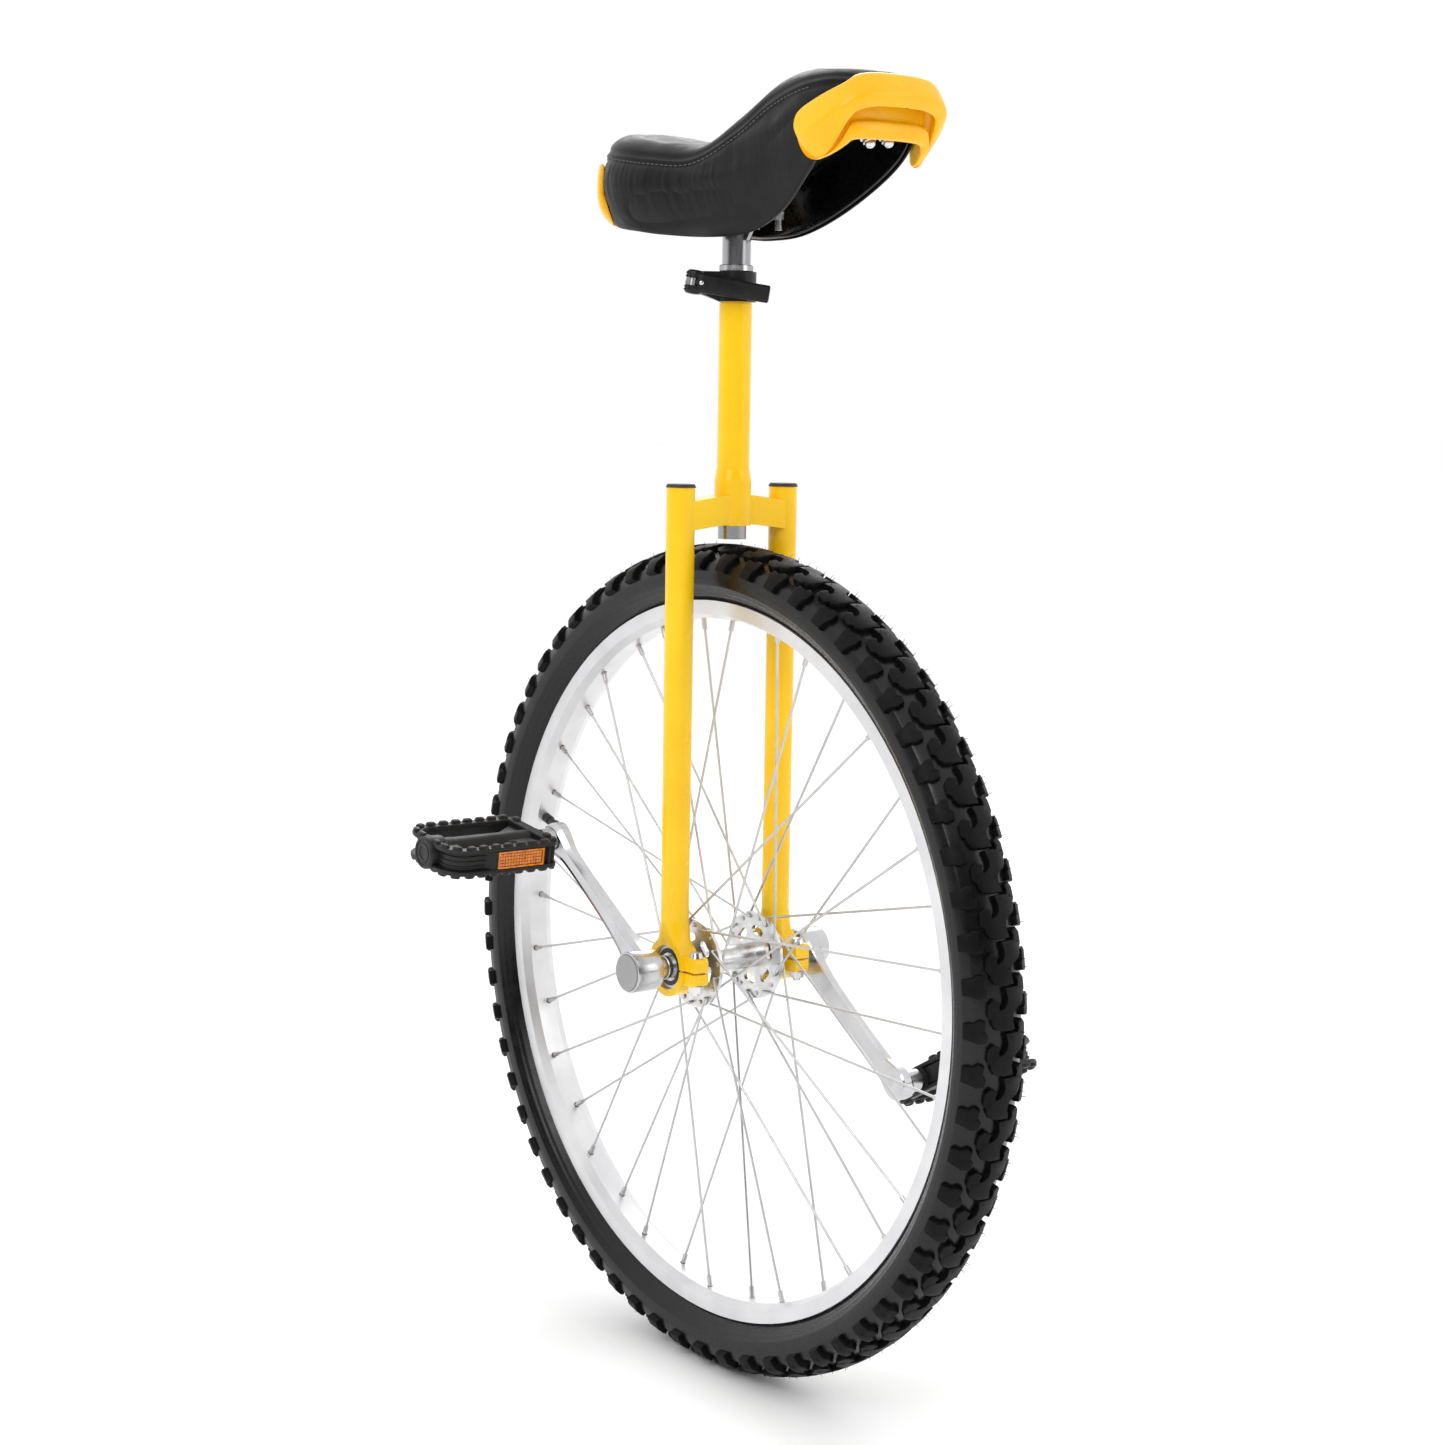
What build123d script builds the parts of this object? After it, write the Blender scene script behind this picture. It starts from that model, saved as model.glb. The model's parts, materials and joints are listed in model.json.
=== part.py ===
"""A 26-inch unicycle, rebuilt as the separate pieces that it is assembled from.

Frame: millimetres, +X forward, +Y to the rider's left, +Z up. The origin is on the ground,
straight below the middle of the axle, so the axle lies along Y at the height of the tyre's radius.
"""
from build123d import *

import os
from math import cos, radians, sin

os.makedirs("parts", exist_ok=True)

SIDES = {"right": -1, "left": 1}

# ---------------------------------------------------------------- wheel
TYRE_RADIUS = 330.0
TYRE_HALF_WIDTH = 25.2
TYRE_SHOULDER_RADIUS = 319.0
TYRE_WIDEST_RADIUS = 303.0
TYRE_WALL = 3.2
TREAD_DEPTH = 6.5
BEAD_HALF_WIDTH = 13.2
BEAD_THICKNESS = 2.6
BEAD_RADIUS = 280.0
TUBE_CENTRE_RADIUS = 302.0
TUBE_HALF_WIDTH = 16.5
TUBE_HALF_HEIGHT = 19.5
TUBE_WALL = 1.2

RIM_FLANGE_RADIUS = 286.0
RIM_HALF_WIDTH = 15.5
RIM_WALL = 2.2
RIM_SEAT_RADIUS = 279.5
RIM_SEAT_HALF_WIDTH = 9.5
RIM_WELL_RADIUS = 274.0
RIM_BED_RADIUS = 271.6
RIM_SHOULDER_RADIUS = 275.2
RIM_SHOULDER_HALF_WIDTH = 8.5
TAPE_INNER_RADIUS = 277.3
TAPE_THICKNESS = 0.7
TAPE_HALF_WIDTH = 9.3

SPOKE_COUNT = 36
SPOKE_STEP = 360.0 / SPOKE_COUNT
FIRST_SPOKE_ANGLE = 8.3
SPOKE_LEAN = 60.0
SPOKE_RADIUS = 1.0
SPOKE_HEAD_RADIUS = 1.9
SPOKE_HEAD_LENGTH = 1.2
ELBOW_GAP_INSIDE = 1.1
ELBOW_GAP_OUTSIDE = 2.0
NIPPLE_RADIUS = 2.0
NIPPLE_HEAD_RADIUS = 2.9
NIPPLE_HEAD_LENGTH = 2.2
NIPPLE_BORE_START = 3.0
SPOKE_START = 4.0
NIPPLE_LENGTH = 12.0
NIPPLE_SEAT_RADIUS = 274.6
NIPPLE_OFFSET = 3.0
NIPPLE_HOLE_RADIUS = 2.5
NIPPLE_THREAD_CLEARANCE = 0.05

VALVE_ANGLE = 163.3
VALVE_HOLE_RADIUS = 4.2
VALVE_STEM_RADIUS = 4.1
VALVE_NECK_RADIUS = 3.2
VALVE_TOP_RADIUS = 281.5
VALVE_STEP_RADIUS = 264.0
VALVE_END_RADIUS = 245.0
VALVE_CAP_RADIUS = 4.2
VALVE_CAP_LENGTH = 13.0

# ---------------------------------------------------------------- hub, axle and bearings
HUB_BARREL_RADIUS = 10.0
FLANGE_RADIUS = 35.0
FLANGE_THICKNESS = 3.0
FLANGE_INNER_Y = 28.5
FLANGE_HOLE_CIRCLE = 31.0
FLANGE_HOLE_RADIUS = 1.3
FLANGE_SLOT_CIRCLE = 20.5
FLANGE_SLOT_COUNT = 6
FLANGE_SLOT_LENGTH = 14.0
FLANGE_SLOT_WIDTH = 6.5

AXLE_RADIUS = 8.5
AXLE_SHOULDER_Y = 58.0
AXLE_SQUARE = 12.7
AXLE_END_Y = 80.0
AXLE_THREAD_DEPTH = 18.0

BEARING_Y = 50.0
BEARING_WIDTH = 10.0
BEARING_RADIUS = 17.5
INNER_RACE_RADIUS = 11.0
OUTER_RACE_BORE = 14.8
BALL_CIRCLE = 12.9
BALL_RADIUS = 2.38
BALL_GROOVE_RADIUS = 2.45
BALL_COUNT = 10
CAGE_INNER_RADIUS = 12.1
CAGE_OUTER_RADIUS = 13.7
CAGE_HALF_WIDTH = 3.0
SEAL_THICKNESS = 0.7
SEAL_GAP = 0.25

# ---------------------------------------------------------------- frame
LEG_RADIUS = 11.1
LEG_WALL = 1.6
LEG_TOP = 374.3
LEG_FOOT = 36.0
LEG_CAP_RADIUS = 11.8
LEG_CAP_THICKNESS = 2.6
LEG_CAP_PLUG = 12.0

HOLDER_RADIUS = 23.0
HOLDER_WIDTH = 16.0
HOLDER_LUG_REACH = 36.0
HOLDER_LUG_WIDTH = 13.0
HOLDER_LUG_TOP = 12.0
HOLDER_LUG_BOTTOM = 10.5
HOLDER_LUG_CORNER = 4.0
HOLDER_SLIT = 1.6
NECK_BASE_HEIGHT = 15.0
NECK_BASE_LENGTH = 34.0

PINCH_BOLT_X = 29.0
PINCH_BOLT_RADIUS = 3.0
PINCH_HOLE_RADIUS = 3.3
PINCH_HEAD_RADIUS = 5.6
PINCH_HEAD_HEIGHT = 4.0
PINCH_NUT_RADIUS = 5.8
PINCH_NUT_HEIGHT = 5.0
PINCH_TAIL = 2.5

SEAT_TUBE_RADIUS = 12.7
SEAT_TUBE_BORE = 11.2
SEAT_TUBE_BOTTOM = 344.6
SEAT_TUBE_TOP = 538.5
CROWN_HALF_THICKNESS = 10.0
CROWN_LEG_BOTTOM = 341.0
CROWN_LEG_TOP = 363.0
CROWN_MIDDLE_BOTTOM = 345.5
CROWN_MIDDLE_TOP = 368.0
CROWN_SLEEVE_RADIUS = 14.3
CROWN_SLEEVE_TOP = 380.0
CROWN_TAPER = 8.0
CROWN_TAPER_STEP = 0.2
CROWN_CUT_BELOW = 10.0
TUBE_SOCKET_RADIUS = 12.5

# ---------------------------------------------------------------- seat clamp and quick release
CLAMP_DIRECTION = (-0.605, -0.796, 0.0)
COLLAR_BOTTOM = 516.5
COLLAR_TOP = 539.3
COLLAR_RADIUS = 15.6
COLLAR_SEAT_RADIUS = 12.3
COLLAR_STEP_GAP = 1.2
CLAMP_SLIT = 2.0
SEAT_TUBE_SLIT_LENGTH = 32.0
SEAT_TUBE_SLIT_DEPTH = 8.0
EAR_HALF_THICKNESS = 9.0
EAR_REACH = 38.0
EAR_CORNER = 4.0
SKEWER_REACH = 32.0
SKEWER_HEIGHT = 530.5
SKEWER_RADIUS = 2.5
SKEWER_HOLE_RADIUS = 2.7
SKEWER_TAIL = 20.0
CLAMP_WASHER_RADIUS = 7.0
CLAMP_WASHER_THICKNESS = 1.5
CAM_PIVOT_Y = 17.6
CAM_RADIUS = 6.7
CAM_HEIGHT = 16.0
CAM_PIN_RADIUS = 2.8
CAM_PIN_CLEARANCE = 0.06
CAM_PIN_LENGTH = 17.0
CAM_FORK_GAP = 5.8
CAM_FORK_DEPTH = 4.5
LEVER_DROOP = 8.7
LEVER_LENGTH = 58.0
LEVER_HEIGHT = 14.0
LEVER_TIP_HEIGHT = 13.2
LEVER_THICKNESS = 6.5
LEVER_INNER_FACE = 0.6
ADJUSTER_RADIUS = 7.5
ADJUSTER_GAP = 0.1
ADJUSTER_LENGTH = 8.5
ADJUSTER_NOTCHES = 16
ADJUSTER_NOTCH_RADIUS = 1.0

# ---------------------------------------------------------------- seat post and saddle
POST_RADIUS = 11.1
POST_WALL = 1.6
POST_BOTTOM = 334.0
POST_TOP = 583.0
BRACKET_PLATE = 3.0
BRACKET_LENGTH = 96.0
BRACKET_WIDTH = 36.0
GUSSET_LENGTH = 17.0
GUSSET_THICKNESS = 3.0
GUSSET_BOTTOM = 563.0
SADDLE_BOLT_SPACING_X = 76.0
SADDLE_BOLT_SPACING_Y = 22.0
SADDLE_BOLT_RADIUS = 3.0
SADDLE_BOLT_TAIL = 8.0
SADDLE_NUT_RADIUS = 5.4
SADDLE_NUT_HEIGHT = 5.0

# Cross-sections of the saddle from back to front, with heights above the axle:
# x, half-width at the bottom edge, its height, greatest half-width, its height, top height.
SADDLE_STATIONS = (
    (-134.0, 26.0, 588.0, 34.0, 612.0, 640.0),
    (-120.0, 46.0, 580.0, 60.0, 611.0, 650.0),
    (-85.0, 54.0, 573.0, 72.0, 608.0, 650.0),
    (-40.0, 44.0, 567.0, 68.0, 603.0, 643.0),
    (5.0, 31.0, 564.0, 54.0, 602.0, 639.0),
    (50.0, 27.0, 566.0, 47.0, 612.0, 660.0),
    (90.0, 30.0, 579.0, 46.0, 630.0, 679.0),
    (125.0, 38.0, 600.0, 49.0, 645.0, 683.0),
    (148.0, 40.0, 618.0, 48.0, 653.0, 681.0),
    (166.0, 34.0, 634.0, 42.0, 657.0, 678.0),
    (177.0, 22.0, 648.0, 30.0, 660.0, 672.0),
)
SEAM_WIDTH = 0.88
SEAM_HEIGHT = 0.55
SKIRT_BELLY_WIDTH = 0.72
SKIRT_BELLY_HEIGHT = 0.4
COVER_THICKNESS = 2.0
SADDLE_CUT_DROP = 4.0
FOAM_CLEARANCE = 0.3
PAN_WALL = 3.0
PAN_CEILING_DROP = 12.0
PAN_LEAST_DEPTH = 5.0
BUMPER_CLEARANCE = 0.4
REAR_BUMPER_THICKNESS = 4.0
REAR_BUMPER_FRONT = -104.0
REAR_BUMPER_BOTTOM = 578.0
REAR_BUMPER_TOP = 625.0
REAR_BUMPER_BACK = -143.0
REAR_BUMPER_HALF_WIDTH = 70.0
FRONT_BUMPER_BACK = 141.0
FRONT_BUMPER_CENTRE = 135.8
FRONT_BUMPER_RADIUS = 60.2
FRONT_BUMPER_WALL = 6.5
FRONT_BUMPER_BOTTOM = 612.0
FRONT_BUMPER_TOP = 684.0
# The handle seen from the side: x and height above the axle.
FRONT_BUMPER_PROFILE = (
    (141.0, 645.0),
    (150.0, 613.0),
    (158.0, 613.0),
    (172.0, 636.0),
    (197.0, 648.0),
    (197.0, 658.0),
    (186.0, 676.0),
    (168.0, 682.0),
    (150.0, 676.0),
)

# ---------------------------------------------------------------- cranks and pedals
CRANK_LENGTH = 150.0
CRANK_ANGLES = {"right": 145.0, "left": -35.0}
CRANK_BOSS_INNER_Y = 60.0
CRANK_BOSS_OUTER_Y = 95.0
CRANK_BOSS_RADIUS = 16.2
CRANK_SQUARE = 12.8
CRANK_BOLT_BORE = 11.0
CRANK_CAP_RADIUS = 14.0
CRANK_CAP_THICKNESS = 2.5
CRANK_CAP_PROUD = 1.0
ARM_INNER_Y = 73.0
ARM_THICKNESS = 11.8
ARM_ROOT_WIDTH = 23.0
ARM_TIP_WIDTH = 17.0
CRANK_EYE_RADIUS = 13.5
CRANK_EYE_INNER_Y = 73.0
CRANK_EYE_OUTER_Y = 85.0
PEDAL_THREAD_RADIUS = 7.14
CRANK_BOLT_RADIUS = 4.0
CRANK_BOLT_LENGTH = 16.0
CRANK_BOLT_HEAD_RADIUS = 8.5
CRANK_BOLT_HEAD_LENGTH = 7.0
CRANK_WASHER_RADIUS = 10.5
CRANK_WASHER_THICKNESS = 2.0

PEDAL_PITCH = {"right": 0.0, "left": 30.0}
PEDAL_INNER_Y = 100.0
PEDAL_OUTER_Y = 198.0
PEDAL_HALF_LENGTH = 35.0
PEDAL_HALF_HEIGHT = 10.5
PEDAL_CORNER_INNER = 9.0
PEDAL_CORNER_OUTER = 26.0
PEDAL_WALL = 8.0
PEDAL_BARREL_RADIUS = 10.5
PEDAL_BORE_RADIUS = 5.06
PEDAL_TOOTH_HEIGHT = 2.6
PEDAL_TOOTH_LENGTH = 8.0
PEDAL_TOOTH_WIDTH = 5.5
PEDAL_TOOTH_PITCH = 11.5
PEDAL_TOOTH_COUNT = 6
PEDAL_NUT_RADIUS = 6.5
PEDAL_NUT_LENGTH = 5.0
PEDAL_POCKET_RADIUS = 9.0
PEDAL_CAP_RADIUS = 13.0
PEDAL_CAP_THICKNESS = 5.0
PEDAL_POCKET_Y = 188.5
PEDAL_END_GAP = 0.4
PEDAL_FLATS_END_Y = 96.0
PEDAL_NECK_RADIUS = 6.5
PEDAL_RIB = 5.0
PEDAL_RIB_BITE = 2.0
PEDAL_WINDOW_CORNER = 14.0
PEDAL_TOOTH_INSET = 0.5
PEDAL_TOOTH_SHIFT = 8.0
PEDAL_COLLAR_RADIUS = 9.0
PEDAL_SPINDLE_RADIUS = 5.0
PEDAL_SPINDLE_END_Y = 194.0
REFLECTOR_LENGTH = 50.0
REFLECTOR_HEIGHT = 10.0
REFLECTOR_DEPTH = 2.0
REFLECTOR_RECESS = 0.3
REFLECTOR_CENTRE_Y = 150.0

AXLE_HEIGHT = TYRE_RADIUS
WHEEL_AXIS = Axis((0, 0, AXLE_HEIGHT), (0, 1, 0))
WHEEL_SECTION = Plane(origin=(0, 0, AXLE_HEIGHT), x_dir=(0, 1, 0), z_dir=(1, 0, 0))


def save(piece, name):
    """Label a finished piece and write it to its own STEP file."""
    piece.part.label = name
    export_step(piece.part, f"parts/{name}.step")


def level(height, x=0.0, y=0.0):
    """A horizontal plane at a height above the axle."""
    return Plane(origin=(x, y, AXLE_HEIGHT + height))


def side_plane(side, distance, x=0.0, height=0.0):
    """An upright plane facing outward on one side; its local y is up."""
    origin = (x, side * distance, AXLE_HEIGHT + height)
    return Plane(origin=origin, x_dir=(-side, 0, 0), z_dir=(0, side, 0))


def wheel_point(radius, angle, y):
    """A point given by its distance from the axle, its angle from +X towards +Z, and its y."""
    return Vector(radius * cos(radians(angle)), y, AXLE_HEIGHT + radius * sin(radians(angle)))


# ================================================================ tyre, tube and rim
with BuildPart() as tyre:
    with BuildSketch(WHEEL_SECTION):
        with BuildLine():
            shoulder_x = TYRE_HALF_WIDTH - 0.4
            lining_x = TYRE_HALF_WIDTH - TYRE_WALL
            bead_x = BEAD_HALF_WIDTH - BEAD_THICKNESS
            lining_top = TYRE_SHOULDER_RADIUS - TYRE_WALL
            for way in (1, -1):
                Polyline(
                    (way * BEAD_HALF_WIDTH, RIM_FLANGE_RADIUS),
                    (way * BEAD_HALF_WIDTH, BEAD_RADIUS),
                    (way * bead_x, BEAD_RADIUS),
                    (way * bead_x, RIM_FLANGE_RADIUS),
                )
                ThreePointArc(
                    (way * BEAD_HALF_WIDTH, RIM_FLANGE_RADIUS),
                    (way * TYRE_HALF_WIDTH, TYRE_WIDEST_RADIUS),
                    (way * shoulder_x, TYRE_SHOULDER_RADIUS),
                )
                ThreePointArc(
                    (way * bead_x, RIM_FLANGE_RADIUS),
                    (way * lining_x, TYRE_WIDEST_RADIUS),
                    (way * lining_x, lining_top),
                )
            ThreePointArc(
                (shoulder_x, TYRE_SHOULDER_RADIUS), (0, TYRE_RADIUS), (-shoulder_x, TYRE_SHOULDER_RADIUS)
            )
            ThreePointArc((lining_x, lining_top), (0, TYRE_RADIUS - TREAD_DEPTH), (-lining_x, lining_top))
        make_face()
    revolve(axis=WHEEL_AXIS)
save(tyre, "tyre")

with BuildPart() as inner_tube:
    with BuildSketch(WHEEL_SECTION):
        with Locations((0, TUBE_CENTRE_RADIUS)):
            Ellipse(TUBE_HALF_WIDTH, TUBE_HALF_HEIGHT)
            Ellipse(TUBE_HALF_WIDTH - TUBE_WALL, TUBE_HALF_HEIGHT - TUBE_WALL, mode=Mode.SUBTRACT)
    revolve(axis=WHEEL_AXIS)
save(inner_tube, "inner_tube")


def spoke_lines():
    """Yield side, laced-outside flag, nipple seat and flange hole for every spoke in turn.

    The spokes go to the two flanges in turn, and each pair leans forward or back by the
    same angle, which crosses every spoke over three others.
    """
    for number in range(SPOKE_COUNT):
        side = 1 if number % 2 else -1
        leans_forward = number % 4 < 2
        seat_angle = FIRST_SPOKE_ANGLE + number * SPOKE_STEP
        hole_angle = seat_angle + (SPOKE_LEAN if leans_forward else -SPOKE_LEAN)
        flange_y = side * (FLANGE_INNER_Y + FLANGE_THICKNESS / 2)
        seat = wheel_point(NIPPLE_SEAT_RADIUS, seat_angle, side * NIPPLE_OFFSET)
        yield side, leans_forward, seat, wheel_point(FLANGE_HOLE_CIRCLE, hole_angle, flange_y)


def elbow_point(side, laced_outside, hole):
    """Where a spoke turns to go through its flange."""
    gap = ELBOW_GAP_OUTSIDE if laced_outside else -ELBOW_GAP_INSIDE
    reach = FLANGE_THICKNESS / 2 + abs(gap) + SPOKE_RADIUS / 2
    return hole + Vector(0, side * reach * (1 if laced_outside else -1), 0)


with BuildPart() as rim:
    with BuildSketch(WHEEL_SECTION):
        with BuildLine():
            Polyline(
                (RIM_HALF_WIDTH, RIM_SHOULDER_RADIUS),
                (RIM_HALF_WIDTH, RIM_FLANGE_RADIUS),
                (RIM_HALF_WIDTH - RIM_WALL, RIM_FLANGE_RADIUS),
                (RIM_HALF_WIDTH - RIM_WALL, RIM_SEAT_RADIUS),
                (RIM_SEAT_HALF_WIDTH, RIM_SEAT_RADIUS),
                (RIM_SEAT_HALF_WIDTH, RIM_WELL_RADIUS),
                (0, RIM_WELL_RADIUS),
            )
            Polyline(
                (RIM_HALF_WIDTH, RIM_SHOULDER_RADIUS),
                (RIM_SHOULDER_HALF_WIDTH, RIM_BED_RADIUS),
                (0, RIM_BED_RADIUS),
            )
            mirror(about=Plane.YZ)
        make_face()
    revolve(axis=WHEEL_AXIS)
    for side, laced_outside, seat, hole in spoke_lines():
        direction = elbow_point(side, laced_outside, hole) - seat
        with BuildSketch(Plane(origin=seat, z_dir=direction)):
            Circle(NIPPLE_HOLE_RADIUS)
        extrude(amount=RIM_FLANGE_RADIUS - RIM_BED_RADIUS, both=True, mode=Mode.SUBTRACT)
    valve_direction = wheel_point(1, VALVE_ANGLE, 0) - wheel_point(0, VALVE_ANGLE, 0)
    with BuildSketch(Plane(origin=wheel_point(VALVE_STEP_RADIUS, VALVE_ANGLE, 0), z_dir=valve_direction)):
        Circle(VALVE_HOLE_RADIUS)
    extrude(amount=RIM_FLANGE_RADIUS - VALVE_STEP_RADIUS, mode=Mode.SUBTRACT)
save(rim, "rim")

with BuildPart() as rim_tape:
    with BuildSketch(WHEEL_SECTION):
        with Locations((0, TAPE_INNER_RADIUS + TAPE_THICKNESS / 2)):
            Rectangle(2 * TAPE_HALF_WIDTH, TAPE_THICKNESS)
    revolve(axis=WHEEL_AXIS)
    with BuildSketch(Plane(origin=wheel_point(VALVE_STEP_RADIUS, VALVE_ANGLE, 0), z_dir=valve_direction)):
        Circle(VALVE_HOLE_RADIUS)
    extrude(amount=RIM_FLANGE_RADIUS - VALVE_STEP_RADIUS, mode=Mode.SUBTRACT)
save(rim_tape, "rim_tape")

with BuildPart() as valve_stem:
    with BuildSketch(Plane(origin=wheel_point(VALVE_STEP_RADIUS, VALVE_ANGLE, 0), z_dir=valve_direction)):
        Circle(VALVE_STEM_RADIUS)
    extrude(amount=VALVE_TOP_RADIUS - VALVE_STEP_RADIUS)
    with BuildSketch(Plane(origin=wheel_point(VALVE_END_RADIUS, VALVE_ANGLE, 0), z_dir=valve_direction)):
        Circle(VALVE_NECK_RADIUS)
    extrude(amount=VALVE_STEP_RADIUS - VALVE_END_RADIUS)
save(valve_stem, "valve_stem")

with BuildPart() as valve_cap:
    cap_end = wheel_point(VALVE_END_RADIUS - 2, VALVE_ANGLE, 0)
    with BuildSketch(Plane(origin=cap_end, z_dir=valve_direction)):
        Circle(VALVE_CAP_RADIUS)
    extrude(amount=VALVE_CAP_LENGTH)
    with BuildSketch(Plane(origin=wheel_point(VALVE_END_RADIUS, VALVE_ANGLE, 0), z_dir=valve_direction)):
        Circle(VALVE_NECK_RADIUS)
    extrude(amount=VALVE_CAP_LENGTH, mode=Mode.SUBTRACT)
save(valve_cap, "valve_cap")

# ================================================================ spokes and nipples
with BuildPart() as nipples:
    for side, laced_outside, seat, hole in spoke_lines():
        direction = (elbow_point(side, laced_outside, hole) - seat).normalized()
        with BuildSketch(Plane(origin=seat, z_dir=direction)):
            Circle(NIPPLE_RADIUS)
        extrude(amount=NIPPLE_LENGTH)
        with BuildSketch(Plane(origin=seat, z_dir=-direction)):
            Circle(NIPPLE_HEAD_RADIUS)
        extrude(amount=NIPPLE_HEAD_LENGTH, taper=20)
        with BuildSketch(Plane(origin=seat + direction * NIPPLE_BORE_START, z_dir=direction)):
            Circle(SPOKE_RADIUS + NIPPLE_THREAD_CLEARANCE)
        extrude(amount=NIPPLE_LENGTH, mode=Mode.SUBTRACT)
save(nipples, "spoke_nipples")

for side_name, this_side in SIDES.items():
    with BuildPart() as spokes:
        for side, laced_outside, seat, hole in spoke_lines():
            if side != this_side:
                continue
            elbow = elbow_point(side, laced_outside, hole)
            run = elbow - seat
            start = seat + run.normalized() * SPOKE_START
            with BuildSketch(Plane(origin=start, z_dir=run)):
                Circle(SPOKE_RADIUS)
            extrude(amount=run.length - SPOKE_START + SPOKE_RADIUS / 3)
            through = hole - elbow
            outer_end = elbow - through.normalized() * SPOKE_RADIUS
            with BuildSketch(Plane(origin=outer_end, z_dir=through)):
                Circle(SPOKE_RADIUS)
            extrude(amount=SPOKE_RADIUS + through.length + FLANGE_THICKNESS / 2)
            head = hole + through.normalized() * (FLANGE_THICKNESS / 2)
            with BuildSketch(Plane(origin=head, z_dir=through)):
                Circle(SPOKE_HEAD_RADIUS)
            extrude(amount=SPOKE_HEAD_LENGTH)
    save(spokes, f"spokes_{side_name}")

# ================================================================ hub and axle
with BuildPart() as hub_shell:
    with BuildSketch(side_plane(1, -FLANGE_INNER_Y - FLANGE_THICKNESS)):
        Circle(HUB_BARREL_RADIUS)
        Circle(AXLE_RADIUS, mode=Mode.SUBTRACT)
    extrude(amount=2 * (FLANGE_INNER_Y + FLANGE_THICKNESS))
save(hub_shell, "hub_shell")

for side_name, this_side in SIDES.items():
    with BuildPart() as hub_flange:
        with BuildSketch(side_plane(this_side, FLANGE_INNER_Y)):
            Circle(FLANGE_RADIUS)
            Circle(HUB_BARREL_RADIUS, mode=Mode.SUBTRACT)
            with PolarLocations(FLANGE_SLOT_CIRCLE, FLANGE_SLOT_COUNT, start_angle=VALVE_ANGLE):
                SlotOverall(FLANGE_SLOT_LENGTH, FLANGE_SLOT_WIDTH, rotation=90, mode=Mode.SUBTRACT)
        extrude(amount=FLANGE_THICKNESS)
        for side, laced_outside, seat, hole in spoke_lines():
            if side == this_side:
                with BuildSketch(side_plane(side, FLANGE_INNER_Y, hole.X, hole.Z - AXLE_HEIGHT)):
                    Circle(FLANGE_HOLE_RADIUS)
                extrude(amount=FLANGE_THICKNESS, mode=Mode.SUBTRACT)
    save(hub_flange, f"hub_flange_{side_name}")

with BuildPart() as axle:
    with BuildSketch(side_plane(1, -AXLE_SHOULDER_Y)):
        Circle(AXLE_RADIUS)
    extrude(amount=2 * AXLE_SHOULDER_Y)
    for side in SIDES.values():
        with BuildSketch(side_plane(side, AXLE_SHOULDER_Y)):
            Rectangle(AXLE_SQUARE, AXLE_SQUARE, rotation=CRANK_ANGLES["left"])
        extrude(amount=AXLE_END_Y - AXLE_SHOULDER_Y)
        with BuildSketch(side_plane(side, AXLE_END_Y)):
            Circle(CRANK_BOLT_RADIUS)
        extrude(amount=-AXLE_THREAD_DEPTH, mode=Mode.SUBTRACT)
save(axle, "axle")

# ================================================================ bearings
with BuildPart() as inner_races:
    for side in SIDES.values():
        with BuildSketch(side_plane(side, BEARING_Y - BEARING_WIDTH / 2)):
            Circle(INNER_RACE_RADIUS)
            Circle(AXLE_RADIUS, mode=Mode.SUBTRACT)
        extrude(amount=BEARING_WIDTH)
    with BuildSketch(WHEEL_SECTION):
        with Locations((BEARING_Y, BALL_CIRCLE), (-BEARING_Y, BALL_CIRCLE)):
            Circle(BALL_GROOVE_RADIUS)
    revolve(axis=WHEEL_AXIS, mode=Mode.SUBTRACT)
save(inner_races, "bearing_inner_races")

with BuildPart() as outer_races:
    for side in SIDES.values():
        with BuildSketch(side_plane(side, BEARING_Y - BEARING_WIDTH / 2)):
            Circle(BEARING_RADIUS)
            Circle(OUTER_RACE_BORE, mode=Mode.SUBTRACT)
        extrude(amount=BEARING_WIDTH)
    with BuildSketch(WHEEL_SECTION):
        with Locations((BEARING_Y, BALL_CIRCLE), (-BEARING_Y, BALL_CIRCLE)):
            Circle(BALL_GROOVE_RADIUS)
    revolve(axis=WHEEL_AXIS, mode=Mode.SUBTRACT)
save(outer_races, "bearing_outer_races")

with BuildPart() as seals:
    for side in SIDES.values():
        for face in (-1, 1):
            seal_y = BEARING_Y + face * (BEARING_WIDTH / 2 - SEAL_THICKNESS / 2)
            with BuildSketch(side_plane(side, seal_y)):
                Circle(OUTER_RACE_BORE)
                Circle(INNER_RACE_RADIUS + SEAL_GAP, mode=Mode.SUBTRACT)
            extrude(amount=SEAL_THICKNESS / 2, both=True)
save(seals, "bearing_seals")

for side_name, side in SIDES.items():
    with BuildPart() as balls:
        with Locations(side_plane(side, BEARING_Y)):
            with PolarLocations(BALL_CIRCLE, BALL_COUNT):
                Sphere(BALL_RADIUS)
    save(balls, f"bearing_balls_{side_name}")

    with BuildPart() as cage:
        with BuildSketch(side_plane(side, BEARING_Y)):
            Circle(CAGE_OUTER_RADIUS)
            Circle(CAGE_INNER_RADIUS, mode=Mode.SUBTRACT)
        extrude(amount=CAGE_HALF_WIDTH, both=True)
        with Locations(side_plane(side, BEARING_Y)):
            with PolarLocations(BALL_CIRCLE, BALL_COUNT):
                Cylinder(BALL_GROOVE_RADIUS, 6, rotation=(0, 90, 0), mode=Mode.SUBTRACT)
    save(cage, f"bearing_cage_{side_name}")

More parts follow.
